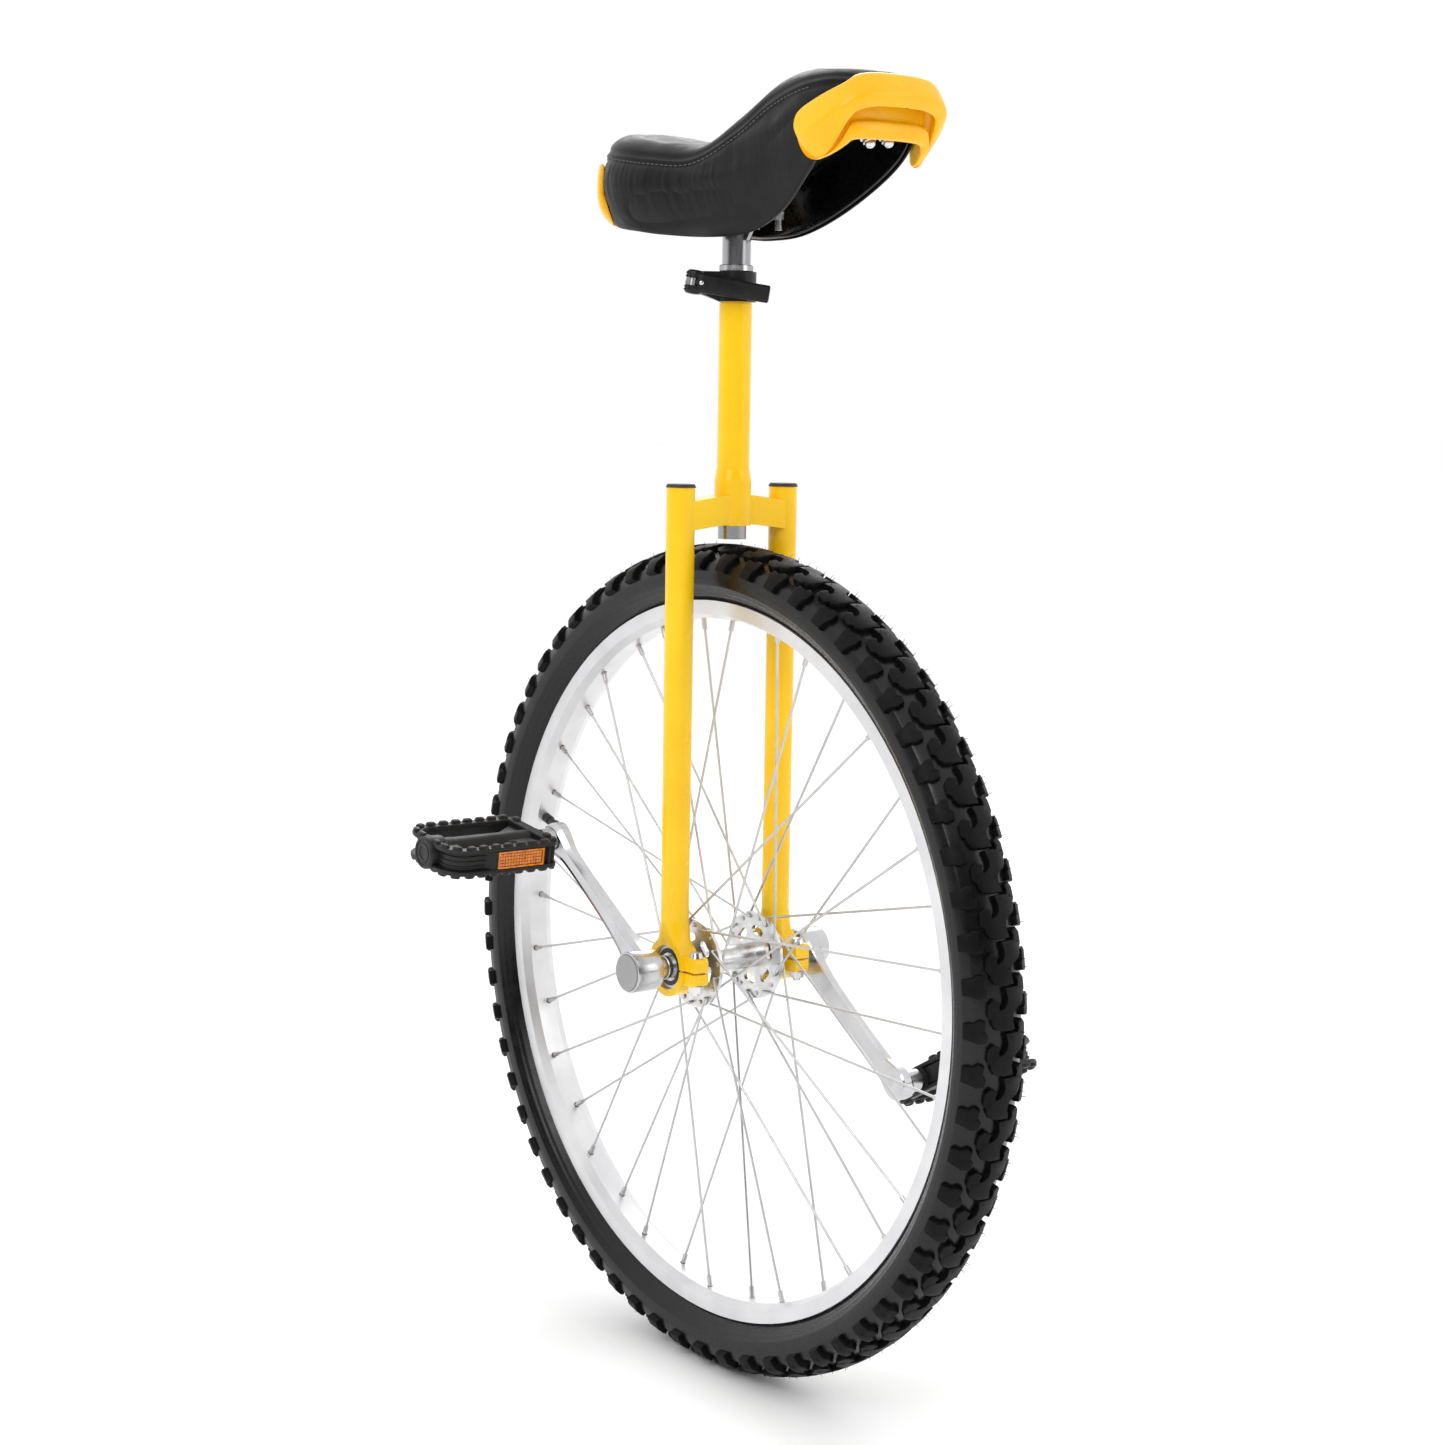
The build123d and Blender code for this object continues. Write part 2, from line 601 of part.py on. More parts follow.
# ================================================================ fork legs and bearing holders
for side_name, side in SIDES.items():
    with BuildPart() as leg:
        with BuildSketch(level(LEG_FOOT, y=side * BEARING_Y)):
            Circle(LEG_RADIUS)
            Circle(LEG_RADIUS - LEG_WALL, mode=Mode.SUBTRACT)
        extrude(amount=LEG_TOP - LEG_FOOT)
    save(leg, f"fork_leg_{side_name}")

    with BuildPart() as holder:
        with BuildSketch(side_plane(side, BEARING_Y)):
            Circle(HOLDER_RADIUS)
        extrude(amount=HOLDER_WIDTH / 2, both=True)
        with BuildSketch(level(NECK_BASE_HEIGHT, y=side * BEARING_Y)):
            RectangleRounded(NECK_BASE_LENGTH, HOLDER_WIDTH, 3)
        with BuildSketch(level((NECK_BASE_HEIGHT + LEG_FOOT) / 2 + 1, y=side * BEARING_Y)):
            RectangleRounded(2 * LEG_RADIUS + 3, 2 * LEG_RADIUS - 3, 8)
        with BuildSketch(level(LEG_FOOT, y=side * BEARING_Y)):
            Circle(LEG_RADIUS)
        loft()
        lug_height = HOLDER_LUG_TOP + HOLDER_LUG_BOTTOM
        with BuildSketch(side_plane(side, BEARING_Y)):
            with Locations((-side * HOLDER_LUG_REACH / 2, (HOLDER_LUG_TOP - HOLDER_LUG_BOTTOM) / 2)):
                RectangleRounded(HOLDER_LUG_REACH, lug_height, HOLDER_LUG_CORNER)
        extrude(amount=HOLDER_LUG_WIDTH / 2, both=True)
        with BuildSketch(side_plane(side, BEARING_Y)):
            Circle(BEARING_RADIUS)
            with Locations((-side * HOLDER_LUG_REACH / 2, 0)):
                Rectangle(HOLDER_LUG_REACH, HOLDER_SLIT)
        extrude(amount=LEG_RADIUS + 1, both=True, mode=Mode.SUBTRACT)
        with BuildSketch(level(0, x=PINCH_BOLT_X, y=side * BEARING_Y)):
            Circle(PINCH_HOLE_RADIUS)
        extrude(amount=HOLDER_RADIUS, both=True, mode=Mode.SUBTRACT)
    save(holder, f"bearing_holder_{side_name}")

with BuildPart() as leg_caps:
    for side in SIDES.values():
        with BuildSketch(level(LEG_TOP, y=side * BEARING_Y)):
            Circle(LEG_CAP_RADIUS)
        extrude(amount=LEG_CAP_THICKNESS, taper=25)
        with BuildSketch(level(LEG_TOP, y=side * BEARING_Y)):
            Circle(LEG_RADIUS - LEG_WALL)
        extrude(amount=-LEG_CAP_PLUG)
save(leg_caps, "leg_top_caps")

with BuildPart() as pinch_bolts:
    for side in SIDES.values():
        with BuildSketch(level(HOLDER_LUG_TOP, x=PINCH_BOLT_X, y=side * BEARING_Y)):
            Circle(PINCH_HEAD_RADIUS)
        extrude(amount=PINCH_HEAD_HEIGHT, taper=18)
        with BuildSketch(level(HOLDER_LUG_TOP, x=PINCH_BOLT_X, y=side * BEARING_Y)):
            Circle(PINCH_BOLT_RADIUS)
        extrude(amount=-(lug_height + PINCH_NUT_HEIGHT + PINCH_TAIL))
save(pinch_bolts, "pinch_bolts")

with BuildPart() as pinch_nuts:
    for side in SIDES.values():
        with BuildSketch(level(-HOLDER_LUG_BOTTOM, x=PINCH_BOLT_X, y=side * BEARING_Y)):
            RegularPolygon(PINCH_NUT_RADIUS, 6)
            Circle(PINCH_BOLT_RADIUS, mode=Mode.SUBTRACT)
        extrude(amount=-PINCH_NUT_HEIGHT)
save(pinch_nuts, "pinch_nuts")

# ================================================================ crown and seat tube
SOCKET_TOP = CROWN_SLEEVE_TOP + CROWN_TAPER

with BuildPart() as crown:
    with BuildSketch(WHEEL_SECTION):
        with BuildLine():
            arm_end = BEARING_Y
            Polyline(
                (arm_end, CROWN_LEG_BOTTOM),
                (CROWN_SLEEVE_RADIUS, CROWN_MIDDLE_BOTTOM),
                (-CROWN_SLEEVE_RADIUS, CROWN_MIDDLE_BOTTOM),
                (-arm_end, CROWN_LEG_BOTTOM),
                (-arm_end, CROWN_LEG_TOP),
                (-CROWN_SLEEVE_RADIUS, CROWN_MIDDLE_TOP),
                (CROWN_SLEEVE_RADIUS, CROWN_MIDDLE_TOP),
                (arm_end, CROWN_LEG_TOP),
                close=True,
            )
        make_face()
    extrude(amount=CROWN_HALF_THICKNESS, both=True)
    with BuildSketch(level(SEAT_TUBE_BOTTOM)):
        Circle(CROWN_SLEEVE_RADIUS)
    extrude(amount=CROWN_SLEEVE_TOP - SEAT_TUBE_BOTTOM)
    with BuildSketch(level(CROWN_SLEEVE_TOP)):
        Circle(CROWN_SLEEVE_RADIUS)
    with BuildSketch(level(SOCKET_TOP)):
        Circle(SEAT_TUBE_RADIUS + CROWN_TAPER_STEP)
    loft()
    with BuildSketch(level(SEAT_TUBE_BOTTOM - CROWN_CUT_BELOW)):
        Circle(TUBE_SOCKET_RADIUS)
        with Locations((0, BEARING_Y), (0, -BEARING_Y)):
            Circle(LEG_RADIUS)
    extrude(amount=CROWN_SLEEVE_TOP, mode=Mode.SUBTRACT)
save(crown, "fork_crown")

CLAMP_PLANE = Plane(origin=(0, 0, AXLE_HEIGHT + COLLAR_BOTTOM), x_dir=CLAMP_DIRECTION, z_dir=(0, 0, 1))
EAR_DIR = Vector(*CLAMP_DIRECTION).normalized()
FRONT_DIR = Vector(0, 0, 1).cross(EAR_DIR)
SKEWER_CENTRE = EAR_DIR * SKEWER_REACH + Vector(0, 0, AXLE_HEIGHT + SKEWER_HEIGHT)

with BuildPart() as seat_tube:
    with BuildSketch(level(SEAT_TUBE_BOTTOM)):
        Circle(TUBE_SOCKET_RADIUS)
    extrude(amount=SOCKET_TOP - SEAT_TUBE_BOTTOM)
    with BuildSketch(level(SOCKET_TOP)):
        Circle(SEAT_TUBE_RADIUS)
    extrude(amount=COLLAR_BOTTOM - COLLAR_STEP_GAP - SOCKET_TOP)
    with BuildSketch(level(COLLAR_BOTTOM - COLLAR_STEP_GAP)):
        Circle(COLLAR_SEAT_RADIUS)
    extrude(amount=SEAT_TUBE_TOP - COLLAR_BOTTOM + COLLAR_STEP_GAP)
    with BuildSketch(level(SEAT_TUBE_BOTTOM)):
        Circle(SEAT_TUBE_BORE)
    extrude(amount=SEAT_TUBE_TOP - SEAT_TUBE_BOTTOM, mode=Mode.SUBTRACT)
    slit_floor = SEAT_TUBE_TOP - SEAT_TUBE_SLIT_LENGTH - COLLAR_BOTTOM
    with BuildSketch(CLAMP_PLANE.offset(slit_floor)):
        with Locations((SEAT_TUBE_RADIUS, 0)):
            Rectangle(SEAT_TUBE_SLIT_DEPTH, CLAMP_SLIT)
    extrude(amount=SEAT_TUBE_SLIT_LENGTH, mode=Mode.SUBTRACT)
save(seat_tube, "seat_tube")

# ================================================================ seat clamp and quick release
with BuildPart() as collar:
    with BuildSketch(CLAMP_PLANE):
        Circle(COLLAR_RADIUS)
        with Locations((EAR_REACH / 2, 0)):
            RectangleRounded(EAR_REACH, 2 * EAR_HALF_THICKNESS, EAR_CORNER)
        Circle(COLLAR_SEAT_RADIUS, mode=Mode.SUBTRACT)
        with Locations((EAR_REACH / 2, 0)):
            Rectangle(EAR_REACH, CLAMP_SLIT, mode=Mode.SUBTRACT)
    extrude(amount=COLLAR_TOP - COLLAR_BOTTOM)
    with BuildSketch(Plane(origin=SKEWER_CENTRE, z_dir=FRONT_DIR)):
        Circle(SKEWER_HOLE_RADIUS)
    extrude(amount=2 * EAR_HALF_THICKNESS, both=True, mode=Mode.SUBTRACT)
save(collar, "seat_clamp_collar")

LEVER_DIR = -EAR_DIR * cos(radians(LEVER_DROOP)) - Vector(0, 0, sin(radians(LEVER_DROOP)))
PIN_DIR = Vector(0, 0, cos(radians(LEVER_DROOP))) - EAR_DIR * sin(radians(LEVER_DROOP))
PIVOT = SKEWER_CENTRE + FRONT_DIR * CAM_PIVOT_Y
LEVER_PLANE = Plane(origin=PIVOT, x_dir=LEVER_DIR, z_dir=PIN_DIR)

with BuildPart() as skewer:
    with BuildSketch(Plane(origin=SKEWER_CENTRE - FRONT_DIR * SKEWER_TAIL, z_dir=FRONT_DIR)):
        Circle(SKEWER_RADIUS)
    extrude(amount=SKEWER_TAIL + CAM_PIVOT_Y - CAM_PIN_RADIUS / 2)
    with BuildSketch(LEVER_PLANE):
        Circle(CAM_PIN_RADIUS)
    extrude(amount=CAM_PIN_LENGTH / 2, both=True)
save(skewer, "clamp_skewer")

with BuildPart() as clamp_washer:
    with BuildSketch(Plane(origin=SKEWER_CENTRE + FRONT_DIR * EAR_HALF_THICKNESS, z_dir=FRONT_DIR)):
        Circle(CLAMP_WASHER_RADIUS)
        Circle(SKEWER_RADIUS, mode=Mode.SUBTRACT)
    extrude(amount=CLAMP_WASHER_THICKNESS)
save(clamp_washer, "clamp_washer")

with BuildPart() as lever:
    with BuildSketch(LEVER_PLANE):
        Circle(CAM_RADIUS)
    extrude(amount=CAM_HEIGHT / 2, both=True)
    lever_middle = LEVER_INNER_FACE - LEVER_THICKNESS / 2
    for distance, height, thickness in (
        (0, LEVER_HEIGHT, LEVER_THICKNESS),
        (LEVER_LENGTH, LEVER_TIP_HEIGHT, LEVER_THICKNESS - 1.5),
    ):
        origin = PIVOT + LEVER_DIR * distance - FRONT_DIR * lever_middle
        with BuildSketch(Plane(origin=origin, x_dir=PIN_DIR, z_dir=LEVER_DIR)):
            RectangleRounded(height, thickness, 1.5)
    loft()
    with BuildSketch(LEVER_PLANE):
        Circle(CAM_PIN_RADIUS + CAM_PIN_CLEARANCE)
    extrude(amount=CAM_HEIGHT, both=True, mode=Mode.SUBTRACT)
    with BuildSketch(LEVER_PLANE):
        with Locations((CAM_FORK_DEPTH - LEVER_LENGTH / 2, 0)):
            Rectangle(LEVER_LENGTH, LEVER_LENGTH)
    extrude(amount=CAM_FORK_GAP / 2, both=True, mode=Mode.SUBTRACT)
save(lever, "quick_release_lever")

with BuildPart() as adjuster:
    nut_start = SKEWER_CENTRE - FRONT_DIR * (EAR_HALF_THICKNESS + ADJUSTER_GAP)
    with BuildSketch(Plane(origin=nut_start, z_dir=-FRONT_DIR)):
        Circle(ADJUSTER_RADIUS)
        Circle(SKEWER_RADIUS + CAM_PIN_CLEARANCE, mode=Mode.SUBTRACT)
        with PolarLocations(ADJUSTER_RADIUS, ADJUSTER_NOTCHES):
            Circle(ADJUSTER_NOTCH_RADIUS, mode=Mode.SUBTRACT)
    extrude(amount=ADJUSTER_LENGTH)
save(adjuster, "clamp_adjuster_nut")

# ================================================================ seat post and its bracket
with BuildPart() as seat_post:
    with BuildSketch(level(POST_BOTTOM)):
        Circle(POST_RADIUS)
        Circle(POST_RADIUS - POST_WALL, mode=Mode.SUBTRACT)
    extrude(amount=POST_TOP - POST_BOTTOM)
save(seat_post, "seat_post")

with BuildPart() as bracket:
    with BuildSketch(level(POST_TOP)):
        RectangleRounded(BRACKET_LENGTH, BRACKET_WIDTH, 4)
        with GridLocations(SADDLE_BOLT_SPACING_X, SADDLE_BOLT_SPACING_Y, 2, 2):
            Circle(SADDLE_BOLT_RADIUS + 0.2, mode=Mode.SUBTRACT)
    extrude(amount=BRACKET_PLATE)
    for way in (-1, 1):
        with BuildSketch(Plane(origin=(0, 0, AXLE_HEIGHT), x_dir=(1, 0, 0), z_dir=(0, -1, 0))):
            with BuildLine():
                Polyline(
                    (way * POST_RADIUS, POST_TOP),
                    (way * POST_RADIUS, GUSSET_BOTTOM),
                    (way * (POST_RADIUS + 3), GUSSET_BOTTOM),
                    (way * (POST_RADIUS + GUSSET_LENGTH), POST_TOP),
                    close=True,
                )
            make_face()
        extrude(amount=GUSSET_THICKNESS / 2, both=True)
save(bracket, "saddle_bracket")


# ================================================================ saddle
def layer(x, points, crown_height=None):
    """A closed cross-section at x: straight corners on both sides, then an arc over the top."""
    with BuildSketch(Plane(origin=(x, 0, AXLE_HEIGHT), x_dir=(0, 1, 0), z_dir=(1, 0, 0))) as section:
        with BuildLine():
            last = points[-1]
            for way in (1, -1):
                Polyline([(way * y, z) for y, z in points])
            Line((-points[0][0], points[0][1]), points[0])
            if crown_height is None:
                Line(last, (-last[0], last[1]))
            else:
                ThreePointArc(last, (0, crown_height), (-last[0], last[1]))
        make_face()
    return section.sketch


def skirt_points(station, inset):
    """The corners of one side of the saddle, bottom edge first, drawn in by an even inset."""
    x, bottom_width, bottom, width, middle, top = station
    seam = middle + SEAM_HEIGHT * (top - middle)
    low_width = bottom_width + SKIRT_BELLY_WIDTH * (width - bottom_width)
    low = bottom + SKIRT_BELLY_HEIGHT * (middle - bottom)
    return [
        (bottom_width - inset, bottom),
        (low_width - inset, low),
        (width - inset, middle),
        (SEAM_WIDTH * width - inset, seam - inset / 2),
    ]


def pull_in(x, inset):
    """Move a station lengthwise so that the ends are drawn in by the same inset."""
    back, nose = SADDLE_STATIONS[0][0], SADDLE_STATIONS[-1][0]
    middle = (back + nose) / 2
    return middle + (x - middle) * (1 - 2 * inset / (nose - back))


def saddle_outline(inset, drop=0.0):
    """The cross-sections of the whole saddle, drawn in by an inset, its bottom edge lowered."""
    sections = []
    for station in SADDLE_STATIONS:
        points = skirt_points(station, inset)
        points[0] = (points[0][0], points[0][1] - drop)
        sections.append(layer(pull_in(station[0], inset), points, station[5] - inset))
    return sections


def width_at(points, height):
    """The half-width of a side's corner list at a height, by straight lines between them."""
    for (low_width, low), (high_width, high) in zip(points, points[1:]):
        if low <= height <= high:
            return low_width + (high_width - low_width) * (height - low) / (high - low)
    return points[-1][0]


def pan_ceiling(station):
    """The height of the top of the plastic pan at a station."""
    return max(station[4] - PAN_CEILING_DROP, station[2] + PAN_LEAST_DEPTH)


def pan_outline(inset, thickness=0.0, drop=0.0):
    """The cross-sections of the plastic pan under the foam."""
    sections = []
    for station in SADDLE_STATIONS:
        points = skirt_points(station, inset)
        ceiling = pan_ceiling(station) - thickness
        bottom = (points[0][0], points[0][1] - drop)
        top = (width_at(points, ceiling), ceiling)
        sections.append(layer(pull_in(station[0], inset), [bottom, top]))
    return sections


def foam_outline(inset):
    """The cross-sections of the foam, from the top of the pan to the inside of the cover."""
    sections = []
    for station in SADDLE_STATIONS:
        points = skirt_points(station, inset)
        floor = pan_ceiling(station) + FOAM_CLEARANCE
        corners = [(width_at(points, floor), floor), points[2], points[3]]
        sections.append(layer(pull_in(station[0], inset), corners, station[5] - inset))
    return sections


with BuildPart() as cover:
    loft(saddle_outline(0), ruled=True)
    loft(saddle_outline(COVER_THICKNESS, drop=SADDLE_CUT_DROP), ruled=True, mode=Mode.SUBTRACT)
save(cover, "saddle_cover")

LINING = COVER_THICKNESS + FOAM_CLEARANCE

with BuildPart() as pan:
    loft(pan_outline(LINING), ruled=True)
    hollow = pan_outline(LINING + PAN_WALL, thickness=PAN_WALL, drop=SADDLE_CUT_DROP)
    loft(hollow, ruled=True, mode=Mode.SUBTRACT)
save(pan, "saddle_base")

with BuildPart() as foam:
    loft(foam_outline(LINING), ruled=True)
save(foam, "saddle_foam")

with BuildPart() as rear_bumper:
    rear_plane = level(REAR_BUMPER_BOTTOM, x=(REAR_BUMPER_BACK + REAR_BUMPER_FRONT) / 2)
    with BuildSketch(rear_plane):
        Rectangle(REAR_BUMPER_FRONT - REAR_BUMPER_BACK, 2 * REAR_BUMPER_HALF_WIDTH)
    extrude(amount=REAR_BUMPER_TOP - REAR_BUMPER_BOTTOM)
    loft(saddle_outline(-REAR_BUMPER_THICKNESS, drop=SADDLE_CUT_DROP), ruled=True, mode=Mode.INTERSECT)
    loft(saddle_outline(-BUMPER_CLEARANCE, drop=2 * SADDLE_CUT_DROP), ruled=True, mode=Mode.SUBTRACT)
save(rear_bumper, "rear_bumper")

with BuildPart() as front_bumper:
    with BuildSketch(level(FRONT_BUMPER_BOTTOM, x=FRONT_BUMPER_CENTRE)):
        Circle(FRONT_BUMPER_RADIUS)
        Circle(FRONT_BUMPER_RADIUS - FRONT_BUMPER_WALL, mode=Mode.SUBTRACT)
        with Locations((-FRONT_BUMPER_RADIUS + FRONT_BUMPER_BACK - FRONT_BUMPER_CENTRE, 0)):
            Rectangle(2 * FRONT_BUMPER_RADIUS, 2 * FRONT_BUMPER_RADIUS, mode=Mode.SUBTRACT)
    extrude(amount=FRONT_BUMPER_TOP - FRONT_BUMPER_BOTTOM)
    with BuildSketch(Plane(origin=(0, 0, AXLE_HEIGHT), x_dir=(1, 0, 0), z_dir=(0, -1, 0))):
        with BuildLine():
            Polyline(FRONT_BUMPER_PROFILE, close=True)
        make_face()
    extrude(amount=FRONT_BUMPER_RADIUS, both=True, mode=Mode.INTERSECT)
save(front_bumper, "front_bumper")

with BuildPart() as saddle_bolts:
    with Locations(level(POST_TOP - SADDLE_NUT_HEIGHT - SADDLE_BOLT_TAIL)):
        with GridLocations(SADDLE_BOLT_SPACING_X, SADDLE_BOLT_SPACING_Y, 2, 2):
            Cylinder(
                SADDLE_BOLT_RADIUS,
                SADDLE_BOLT_TAIL + SADDLE_NUT_HEIGHT + BRACKET_PLATE,
                align=(Align.CENTER, Align.CENTER, Align.MIN),
            )
save(saddle_bolts, "saddle_bolts")

with BuildPart() as saddle_nuts:
    with BuildSketch(level(POST_TOP)):
        with GridLocations(SADDLE_BOLT_SPACING_X, SADDLE_BOLT_SPACING_Y, 2, 2):
            RegularPolygon(SADDLE_NUT_RADIUS, 6)
            Circle(SADDLE_BOLT_RADIUS, mode=Mode.SUBTRACT)
    extrude(amount=-SADDLE_NUT_HEIGHT)
save(saddle_nuts, "saddle_nuts")

# ================================================================ cranks
for side_name, side in SIDES.items():
    crank_angle = CRANK_ANGLES[side_name]
    outward = Vector(cos(radians(crank_angle)), 0, sin(radians(crank_angle)))
    eye_x = CRANK_LENGTH * outward.X
    eye_height = CRANK_LENGTH * outward.Z
    with BuildPart() as crank:
        with BuildSketch(side_plane(side, CRANK_BOSS_INNER_Y)):
            Circle(CRANK_BOSS_RADIUS)
        extrude(amount=CRANK_BOSS_OUTER_Y - CRANK_BOSS_INNER_Y)
        with BuildSketch(side_plane(side, CRANK_EYE_INNER_Y, eye_x, eye_height)):
            Circle(CRANK_EYE_RADIUS)
        extrude(amount=CRANK_EYE_OUTER_Y - CRANK_EYE_INNER_Y)
        arm_plane = Plane(
            origin=(0, side * ARM_INNER_Y, AXLE_HEIGHT), x_dir=outward, z_dir=(0, side, 0)
        )
        with BuildSketch(arm_plane):
            with BuildLine():
                Polyline(
                    (0, ARM_ROOT_WIDTH / 2),
                    (CRANK_LENGTH, ARM_TIP_WIDTH / 2),
                    (CRANK_LENGTH, -ARM_TIP_WIDTH / 2),
                    (0, -ARM_ROOT_WIDTH / 2),
                    close=True,
                )
            make_face()
        extrude(amount=ARM_THICKNESS)
        with BuildSketch(side_plane(side, CRANK_EYE_INNER_Y, eye_x, eye_height)):
            Circle(PEDAL_THREAD_RADIUS)
        extrude(amount=CRANK_EYE_OUTER_Y - CRANK_EYE_INNER_Y, mode=Mode.SUBTRACT)
        with BuildSketch(side_plane(side, CRANK_BOSS_INNER_Y)):
            Rectangle(CRANK_SQUARE, CRANK_SQUARE, rotation=CRANK_ANGLES["left"])
        extrude(amount=CRANK_BOSS_OUTER_Y - CRANK_BOSS_INNER_Y, mode=Mode.SUBTRACT)
        with BuildSketch(side_plane(side, AXLE_END_Y)):
            Circle(CRANK_BOLT_BORE)
        extrude(amount=CRANK_BOSS_OUTER_Y - AXLE_END_Y, mode=Mode.SUBTRACT)
        with BuildSketch(side_plane(side, CRANK_BOSS_OUTER_Y)):
            Circle(CRANK_CAP_RADIUS)
        extrude(amount=-CRANK_CAP_THICKNESS, mode=Mode.SUBTRACT)
    save(crank, f"crank_{side_name}")

    with BuildPart() as crank_cap:
        with BuildSketch(side_plane(side, CRANK_BOSS_OUTER_Y - CRANK_CAP_THICKNESS)):
            Circle(CRANK_CAP_RADIUS)
        extrude(amount=CRANK_CAP_THICKNESS + CRANK_CAP_PROUD)
    save(crank_cap, f"crank_cap_{side_name}")

    with BuildPart() as spindle:
        with BuildSketch(side_plane(side, CRANK_EYE_INNER_Y, eye_x, eye_height)):
            Circle(PEDAL_THREAD_RADIUS)
        extrude(amount=CRANK_EYE_OUTER_Y - CRANK_EYE_INNER_Y)
        with BuildSketch(side_plane(side, CRANK_EYE_OUTER_Y, eye_x, eye_height)):
            Circle(PEDAL_COLLAR_RADIUS)
        extrude(amount=PEDAL_FLATS_END_Y - CRANK_EYE_OUTER_Y)
        with BuildSketch(side_plane(side, PEDAL_FLATS_END_Y, eye_x, eye_height)):
            Circle(PEDAL_NECK_RADIUS)
        extrude(amount=PEDAL_INNER_Y - PEDAL_END_GAP - PEDAL_FLATS_END_Y)
        with BuildSketch(side_plane(side, PEDAL_INNER_Y - PEDAL_END_GAP, eye_x, eye_height)):
            Circle(PEDAL_SPINDLE_RADIUS)
        extrude(amount=PEDAL_SPINDLE_END_Y - PEDAL_INNER_Y + PEDAL_END_GAP)
    save(spindle, f"pedal_spindle_{side_name}")

    with BuildPart() as pedal_nut:
        with BuildSketch(side_plane(side, PEDAL_POCKET_Y + PEDAL_END_GAP, eye_x, eye_height)):
            RegularPolygon(PEDAL_NUT_RADIUS, 6)
            Circle(PEDAL_SPINDLE_RADIUS, mode=Mode.SUBTRACT)
        extrude(amount=PEDAL_NUT_LENGTH)
    save(pedal_nut, f"pedal_nut_{side_name}")

    # The pedal lies on a plane through its spindle, pitched about it.
    pitch = radians(PEDAL_PITCH[side_name])
    pedal_centre = Vector(eye_x, 0, AXLE_HEIGHT + eye_height)
    forward = Vector(cos(pitch), 0, sin(pitch))
    tread = Plane(origin=pedal_centre, x_dir=forward, z_dir=Vector(-sin(pitch), 0, cos(pitch)))
    middle_y = side * (PEDAL_INNER_Y + PEDAL_OUTER_Y) / 2
    body_length = PEDAL_OUTER_Y - PEDAL_INNER_Y

    with BuildPart() as pedal:
        with BuildSketch(tread) as outline:
            with Locations((0, middle_y)):
                Rectangle(2 * PEDAL_HALF_LENGTH, body_length)
            ends = outline.vertices().sort_by(lambda corner: side * corner.Y)
            fillet(ends[:2], radius=PEDAL_CORNER_INNER)
            fillet(outline.vertices().group_by(lambda corner: round(side * corner.Y))[-1],
                   radius=PEDAL_CORNER_OUTER)
            with Locations((0, middle_y)):
                window_length = 2 * (PEDAL_HALF_LENGTH - PEDAL_WALL)
                RectangleRounded(window_length, body_length - 2 * PEDAL_WALL, PEDAL_WINDOW_CORNER, mode=Mode.SUBTRACT)
                Rectangle(window_length + PEDAL_RIB_BITE, PEDAL_RIB)
        extrude(amount=PEDAL_HALF_HEIGHT, both=True)
        with BuildSketch(side_plane(side, PEDAL_INNER_Y, eye_x, eye_height)):
            Circle(PEDAL_BARREL_RADIUS)
        extrude(amount=body_length)
        for face in (1, -1):
            for rail in (1, -1):
                rail_x = rail * (PEDAL_HALF_LENGTH - PEDAL_TOOTH_WIDTH / 2 - PEDAL_TOOTH_INSET)
                with BuildSketch(tread.offset(face * PEDAL_HALF_HEIGHT)):
                    with Locations((rail_x, middle_y - side * PEDAL_TOOTH_SHIFT)):
                        with GridLocations(1, PEDAL_TOOTH_PITCH, 1, PEDAL_TOOTH_COUNT):
                            Rectangle(PEDAL_TOOTH_WIDTH, PEDAL_TOOTH_LENGTH)
                extrude(amount=face * PEDAL_TOOTH_HEIGHT)
        for rail in (1, -1):
            pocket_centre = pedal_centre + forward * (rail * PEDAL_HALF_LENGTH)
            pocket_centre += Vector(0, side * REFLECTOR_CENTRE_Y, 0)
            with BuildSketch(Plane(origin=pocket_centre, x_dir=(0, 1, 0), z_dir=forward * rail)):
                Rectangle(REFLECTOR_LENGTH, REFLECTOR_HEIGHT)
            extrude(amount=-REFLECTOR_DEPTH, mode=Mode.SUBTRACT)
        with BuildSketch(side_plane(side, PEDAL_INNER_Y, eye_x, eye_height)):
            Circle(PEDAL_BORE_RADIUS)
        extrude(amount=body_length, mode=Mode.SUBTRACT)
        with BuildSketch(side_plane(side, PEDAL_POCKET_Y, eye_x, eye_height)):
            Circle(PEDAL_POCKET_RADIUS)
        extrude(amount=PEDAL_OUTER_Y - PEDAL_POCKET_Y, mode=Mode.SUBTRACT)
    save(pedal, f"pedal_body_{side_name}")

    with BuildPart() as reflectors:
        for rail in (1, -1):
            lens_centre = pedal_centre + forward * (rail * (PEDAL_HALF_LENGTH - REFLECTOR_DEPTH))
            lens_centre += Vector(0, side * REFLECTOR_CENTRE_Y, 0)
            with BuildSketch(Plane(origin=lens_centre, x_dir=(0, 1, 0), z_dir=forward * rail)):
                Rectangle(REFLECTOR_LENGTH, REFLECTOR_HEIGHT)
            extrude(amount=REFLECTOR_DEPTH - REFLECTOR_RECESS)
    save(reflectors, f"pedal_reflectors_{side_name}")

    with BuildPart() as end_cap:
        with BuildSketch(side_plane(side, PEDAL_OUTER_Y, eye_x, eye_height)):
            Circle(PEDAL_CAP_RADIUS)
        extrude(amount=PEDAL_CAP_THICKNESS, taper=6)
    save(end_cap, f"pedal_end_cap_{side_name}")

